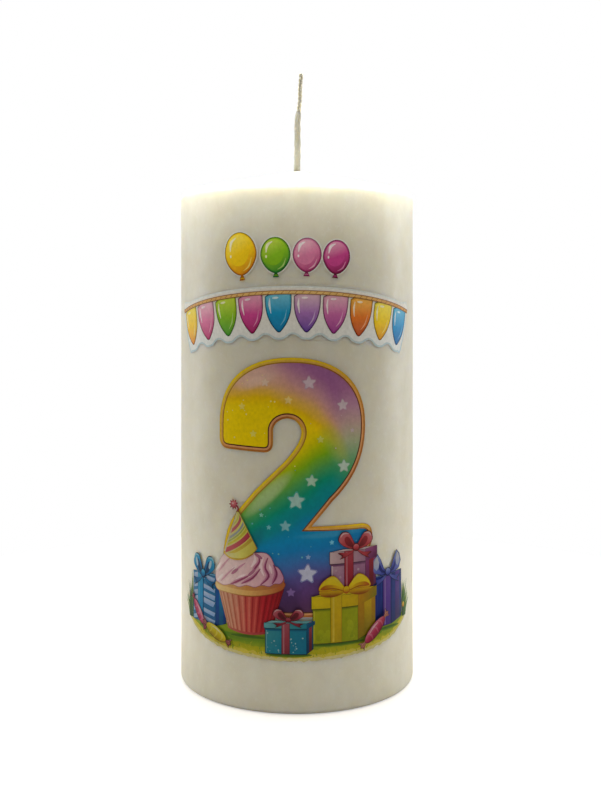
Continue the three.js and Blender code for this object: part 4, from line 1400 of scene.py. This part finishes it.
def make_cupcake():
    """A pleated paper case, a golden edge of cake, and pink icing piped in leaning swirls."""
    middle, foot, rim = -11.6, 18.1, 28.6
    low, high = 5.5, 8.7
    case = Film("cupcake_case", "film_red", "cupcake_case_film", tone=(0.3, 0.8))
    sides = ((-20, 0), (-4, 0))

    def at(across, up):
        """A point of the case: across from -1 to 1 and up from 0 to 1, its lines bowing down as on a cone."""
        half = low + (high - low) * up
        bow_down = (0.9 + 0.6 * up) * (1 - across * across)
        return (middle + half * across,
                foot + 1 + (rim - foot - 1) * up - bow_down + 0.9 * up * (0.5 + 0.5 * across))

    def strip(start, end, bottom=0.0, top=1.0, steps=6):
        shares = [start + (end - start) * i / steps for i in range(steps + 1)]
        return [at(a, bottom) for a in shares] + [at(a, top) for a in reversed(shares)]

    # The case fades from pale at the left to deep red at the right: painted shade on its right side.
    case.add(strip(-1, 1, steps=24), 6, "#C08A70 #A04040 #5A0E1C", *sides)
    case.add(strip(-0.98, 0.98, 0.01, 1, 24), 7, "#E4B498 #E0A088 #D46258 #B41C28 #96101E", *sides)
    # Each pleat has a dark face up to its shaded fold, painted shade, and a pale face, painted highlight.
    pleats = 13
    for i in range(pleats):
        start = math.sin(math.radians(-82 + 164 * i / pleats))
        end = math.sin(math.radians(-82 + 164 * (i + 1) / pleats))
        shaded_fold = start + (end - start) * 0.22
        case.add(strip(start, shaded_fold, 0.03, 1, 2), 8, "#CE9A80 #C87E6A #B63E3E #940E1C #7C0A18", *sides)
        case.add(strip(shaded_fold + (end - shaded_fold) * 0.35, shaded_fold + (end - shaded_fold) * 0.75, 0.05, 0.94, 2), 8,
                 "#F2CCB4 #EDB8A0 #E48474 #C62A34 #A81824", *sides)
    case.add(strip(-0.97, 0.97, 0.0, 0.06, 24), 9, "#C88C74 #C45A56 #96202E", *sides)
    case.finish()

    icing = Film("cupcake_icing", "film_pink", "cupcake_icing_film", tone=(0, 0.88))
    # The icing fades from pale at the upper left to mauve at the lower right: painted light and shade.
    tone = ((-20.5, 35), (-3.5, 31))
    cake = [(-8.8, -0.8), (-5.8, -1.25), (-1.6, -1.5), (1.6, -1.35), (4.7, -0.8), (7.4, 0.1), (8.6, 1.0),
            (8.7, 2.4), (5, 3.4), (-5, 2.4), (-9.1, 1.0)]
    # The cake fades from gold at the left to brown at the right, painted shade; the third layer, raised to
    # show just under the icing, is a painted shadow.
    for level, rise, wide, high, colours in ((10, 0, 1, 1, "#D8B074 #A8622E #8A3A1E"),
                                             (11, 0.08, 0.985, 0.9, "#ECD090 #E0B064 #B46430"),
                                             (12, 1.2, 0.97, 0.86, "#E4BC80 #CC8E4C #A8603A")):
        icing.add(placed(spline(cake, 4), middle, rim + rise, 0, wide, high), level, colours, *sides)
    mass = [(-9.1, 1.3), (-9.2, 3.2), (-8.3, 5.3), (-7.3, 7.2), (-5.5, 8.3), (0, 8.8), (3.9, 9.1),
            (5.3, 8.4), (6.1, 7.1), (6.5, 6.2), (7.3, 5.8), (8.1, 4.7), (8.6, 3.2), (7.8, 2.0), (6.4, 1.9),
            (5.2, 1.2), (3.4, 1.4), (1.6, 0.8), (-0.4, 1.1), (-2.4, 0.5), (-4.4, 0.9), (-6.6, 0.4),
            (-8.2, 0.8)]
    icing.add(placed(spline(mass, 4), middle, rim), 13, "#D2A4B0 #A86C84 #7C4064", *tone)
    icing.add(placed(inset(spline(mass, 4), 0.13), middle, rim), 14, "#F2DCDA #EDD0D0 #E2B6BE #C88CAC", *tone)

    def stroke(points, widths, level, colours):
        icing.add(placed(ribbon(points, widths, 5), middle, rim), level, colours, *tone)

    # The grooves are darkened as painted shade, deepest in the deep ones' dark cores, with pale strokes of
    # painted highlight beside them.
    grooves = [((2.6, 8.4), (2.7, 6.9), (1.7, 5.4), (1.0, 4.2)), ((-0.6, 6.4), (-2.0, 5.4), (-3.6, 4.0)),
               ((4.8, 8.0), (4.1, 5.7), (4.9, 3.6), (3.0, 1.5)), ((3.0, 5.3), (1.0, 3.0), (-1.8, 1.4)),
               ((6.1, 6.4), (6.8, 4.2), (5.8, 1.9)), ((-3.4, 5.2), (-5.8, 3.0), (-7.6, 1.2)),
               ((-4.4, 7.6), (-6.4, 5.6), (-8.2, 3.4)), ((0.4, 3.6), (-2.2, 2.2), (-4.8, 0.9))]
    shallow = (1, 5, 6)
    for i, line in enumerate(grooves):
        deep = i not in shallow
        pale = [(px - 1.0, py + 0.1) for px, py in line]
        stroke(pale[:-1] if deep else pale[1:], [0.1, 0.75, 0.2], 15, "#FBF0EC #F6E0E2 #ECC8D2")
        soft = [0.2, 0.75, 0.95, 0.25] if deep else [0.05, 0.4, 0.5, 0.05]
        stroke(line, soft, 16, "#E2B4BE #CE8CA8 #AE6488")
        if deep:
            stroke([(px + 0.12, py) for px, py in line], [0.1, 0.36, 0.42, 0.1], 17,
                   "#B06A80 #9A4668 #78305A")
    # Dark ovals at the grooves' ends: painted shade.
    for x, y, across, turn in ((0.9, 4.2, 1.3, 42), (-3.5, 4.1, 1.2, 38), (2.6, 8.2, 1.1, -30)):
        icing.add(placed(oval(0, 0, across, 0.36), middle + x, rim + y, turn), 18, "#C08098 #A05C7C", *tone)
    icing.finish()


def make_hat():
    """A striped paper cone with a tufted pompom, its stripes winding up to the right."""
    hat = Film("party_hat", "film_yellow", "party_hat_film", tone=(0.3, 0.85))
    tip, left, right = Vector((-14.3, 47.0)), Vector((-18.0, 36.8)), Vector((-9.2, 38.6))
    brim = bezier(left, (-16.6, 35.0), (-11.4, 35.0), right, 14)
    cone = [left, *brim, Vector((tip.x + 0.35, tip.y)), Vector((tip.x - 0.35, tip.y))]
    # The cone and its stripes fade from light at the left to dark at the right: painted light and shade.
    hat.add(cone, 21, "#A89858 #7E5A4A", (-18, 0), (-8, 0))
    hat.add(inset(cone, 0.14), 22, "#F4F0C0 #E8E27C #C8B648", (-17.5, 0), (-9, 0))

    def wound(low, high, slant, sag):
        """A band between two heights at the middle, lower at the left, higher at the right and sagging."""
        def edge(share):
            points = []
            for i in range(13):
                across = 0.03 + 0.94 * i / 12
                height = min(0.985, max(0.0, share + slant * (across - 0.5) * 2))
                point = left.lerp(tip, height).lerp(right.lerp(tip, height), across)
                points.append(point - Vector((0, sag * (1 - height) * 4 * across * (1 - across))))
            return points
        return edge(low) + edge(high)[::-1]

    bands = ((0.0, 0.08, "#E6D468 #B8963C"), (0.11, 0.24, "#D87A80 #A82C40"), (0.28, 0.34, "#E2DC60 #B4B030"),
             (0.37, 0.41, "#C2D088 #7C9A50"), (0.44, 0.51, "#C6CCC8 #8EA4AC"), (0.58, 0.7, "#D88C8C #A83A50"),
             (0.76, 0.82, "#D8DC88 #9CB450"))
    for low, high, colours in bands:
        hat.add(wound(low + 0.05, high + 0.05, 0.17, 0.4), 23, colours, (-17.5, 0), (-9, 0))
    # A painted highlight down the cone's left edge.
    hat.add(ribbon([left.lerp(tip, 0.04), left.lerp(tip, 0.5), left.lerp(tip, 0.96)], [0.3, 0.24, 0.1]), 24,
            "#F8F2DC")
    hat.add(ribbon([left, *brim[2::3]], [0.3, 0.4, 0.3], 4), 24, "#E6C65A #B8803A", (-17.5, 0), (-9, 0))
    hat.add(ribbon([(tip.x, tip.y - 0.2), (tip.x + 0.2, tip.y + 0.7), (tip.x - 0.7, tip.y + 1.5)],
                   [0.5, 0.4, 0.5], 4), 24,
            "#A0504A")
    tufts = []
    for i in range(18):
        angle = 2 * math.pi * i / 18
        reach = 1.35 if i % 2 else 0.8
        tufts.append((reach * math.cos(angle), reach * math.sin(angle)))
    # The pompom: a dark tuft behind a lighter one, painted shade, and a pale painted highlight.
    hat.add(placed(tufts, tip.x - 1.0, tip.y + 1.5), 25, "#B4505E #8E3444")
    hat.add(placed(tufts, tip.x - 1.0, tip.y + 1.55, 10, 0.7, 0.7), 26, "#E89A9C #C8606C")
    hat.add(oval(tip.x - 1.2, tip.y + 1.7, 0.28, 0.24), 27, "#F2CCCC")
    hat.finish()


# --- Sweets and lawn

SWEETS = [  # name, slot, middle, length, thickness, turn, colours from light to dark, ends' colour, level
    ("pink", "film_pink", (-27.2, 21.1), 9.4, 2.5, -52, "#F0B4C6 #C84A72 #7E1838", "#B8606A", 12),
    ("yellow", "film_yellow", (-20.7, 17.4), 9.8, 3.0, -25, "#EAE25A #CFBC12 #96781A", "#B4706A", 20),
    ("magenta", "film_magenta", (19.5, 18.3), 11.0, 3.0, 41, "#EC9AAC #B83454 #74142E", "#D89484", 36),
]


def make_sweets():
    """Three sweets in striped wrappers with twisted ends."""
    for name, slot, (x, y), length, thick, turn, colours, fan_ink, level in SWEETS:
        light, mid, dark = colours.split()
        film = Film(f"sweet_{name}", slot, f"sweet_{name}_film", tone=(0.3, 0.75))
        lay = stamp(film, level, x, y, turn, ((0, thick / 2), (0, -thick / 2)))
        body = oval(0, 0, length * 0.36, thick / 2)
        for side in (-1, 1):
            fan = [(side * length * 0.3, 0), (side * length * 0.39, thick * 0.16),
                   (side * length * 0.5, thick * 0.44), (side * length * 0.47, thick * 0.16),
                   (side * length * 0.52, 0), (side * length * 0.47, -thick * 0.18),
                   (side * length * 0.49, -thick * 0.42), (side * length * 0.39, -thick * 0.14)]
            lay(fan, 0, darker(fan_ink, 0.5))
            lay(placed(fan, side * length * 0.03, 0, 0, 0.9, 0.84), 1,
                [lighter(fan_ink, 0.4), fan_ink, darker(fan_ink, 0.7)])
            for rise in (-0.2, 0.02, 0.22):
                lay(ribbon([(side * length * 0.33, thick * rise * 0.3), (side * length * 0.46, thick * rise)],
                           [0.06, 0.2]), 2, darker(fan_ink, 0.7))
        # The body fades from light at the top to dark below, as do the twisted ends: painted light and shade.
        # The pale stroke along the top is a painted highlight.
        lay(body, 1, darker(dark, 0.75))
        lay(oval(0, 0.03, length * 0.36 - 0.14, thick / 2 - 0.13), 2, [light, mid, dark])
        for across in (-0.17, 0.02, 0.2):
            reach = thick * 0.5 * math.sqrt(1 - (across / 0.37) ** 2) * 0.86
            lay(ribbon([(across * length - 0.35, reach), (across * length + 0.25, 0),
                        (across * length - 0.15, -reach)],
                       [0.1, 0.5, 0.1]), 3, [lighter(light, 0.3), lighter(mid, 0.25), mid])
        lay(ribbon([(-length * 0.16, thick * 0.24), (0, thick * 0.33), (length * 0.15, thick * 0.25)],
                   [0.08, 0.34, 0.08]),
            4, lighter(light, 0.7))
        film.finish()


def lawn_edge(x):
    """The height of the lawn's lower edge."""
    away = (x - 0.4) / 34
    return 12.3 + 3.4 * away ** 2 + 4.6 * away ** 6


def make_lawn():
    """Grass that fades out into the wax below, with thin dark blades standing at both ends."""
    film = Film("lawn", "film_grass", "lawn_film", tone=(0.4, 1.0))
    rough = random.Random(3)

    def strip(drop, reach, top):
        """The lawn from a ragged edge, a drop above its lower edge, up to the top."""
        xs = [0.4 + reach * (-1 + 2 * i / 110) for i in range(111)]
        low = [(x, lawn_edge(x) + drop + 0.5 * noise.noise(Vector((x * 0.9, drop * 3, 0)))) for x in xs]
        high = [(x, max(top, y + 0.4)) for x, y in low]
        return low + high[::-1]

    film.add(strip(0.3, 33.0, 19.4), 0, "#D8D088 #E4DCAC", (0, 16), (0, 12.6))
    film.add(strip(1.0, 32.2, 19.8), 1, "#C4B838 #CFC25C", (0, 17), (0, 13.4))
    film.add(strip(1.8, 31.4, 20.0), 2, "#7E941E #B0AA1C", (0, 18), (0, 14.2))
    film.add(strip(3.1, 24.6, 18.1), 3, "#5A8424 #8C9C20", (0, 17.6), (0, 15.2))
    for i in range(190):
        x = 0.4 + rough.uniform(-31, 31)
        y = lawn_edge(x) + rough.uniform(0.9, 3.6)
        lean = rough.uniform(-0.8, 0.8)
        tall = rough.uniform(0.4, 1.1)
        tint = rough.choice(("#6E9430", "#98A430", "#BEB434", "#AEA82C", "#84982C"))
        if y + tall < 18.2:
            film.add([(x - 0.12, y), (x + 0.12, y), (x + lean, y + tall)], 4, tint)
    # Painted shadows on the grass under the things that stand on it.
    for x, y, reach in ((-22.6, 18.1, 4.4), (-12, 17.6, 5.2), (-1.9, 14.0, 5.4), (10.2, 16.2, 7.4),
                        (24.0, 17.7, 5.0)):
        film.add(oval(x, y, reach, 0.5, 0, 30), 5, "#5E7C20 #708826")
        film.add(oval(x, y + 0.05, reach * 0.85, 0.3, 0, 30), 6, "#3E6020 #4E701E")
    blades = 15
    for side in (-1, 1):
        for i in range(blades):
            share = i / (blades - 1)
            foot = (0.4 + side * (30.6 + 1.6 * share), lawn_edge(0.4 + side * 31) + 1.2)
            tall = (11.6 - 6.4 * share) * rough.uniform(0.7, 1.05)
            lean = side * (0.2 + 2.4 * share) * rough.uniform(0.5, 1.2)
            blade = ribbon([foot, (foot[0] + lean * 0.3, foot[1] + tall * 0.55),
                            (foot[0] + lean, foot[1] + tall)],
                           [0.42, 0.36, 0.03], 4)
            tints = rough.choice(("#4E7A34 #24501F", "#6C8C30 #3A6424", "#2E5E2A #163C20"))
            film.add(blade, 5 + i % 2, tints, (0, foot[1] + tall), (0, foot[1]))
    film.add(oval(31.4, 21.8, 0.5, 0.65), 7, "#E8C04A #C8863A")
    film.finish()


make_camera()
make_lights()
make_world()
make_floor()
wax = wax_material("dipped_wax", "#F3EBD6", "#E9E0C8", 4.0)
make_coat(wax)
make_core(core_material())
make_plug(wax)
make_sustainer(tin_material())
make_wick(wick_material(), wax_material("wick_wax", "#B2B0A2", "#A09E90", 0.5))

make_lawn()
make_numeral()
make_garland()
make_balloons()
make_blue_gift()
make_violet_gift()
make_red_gift()
make_yellow_gift()
make_teal_gift()
make_cupcake()
make_hat()
make_sweets()
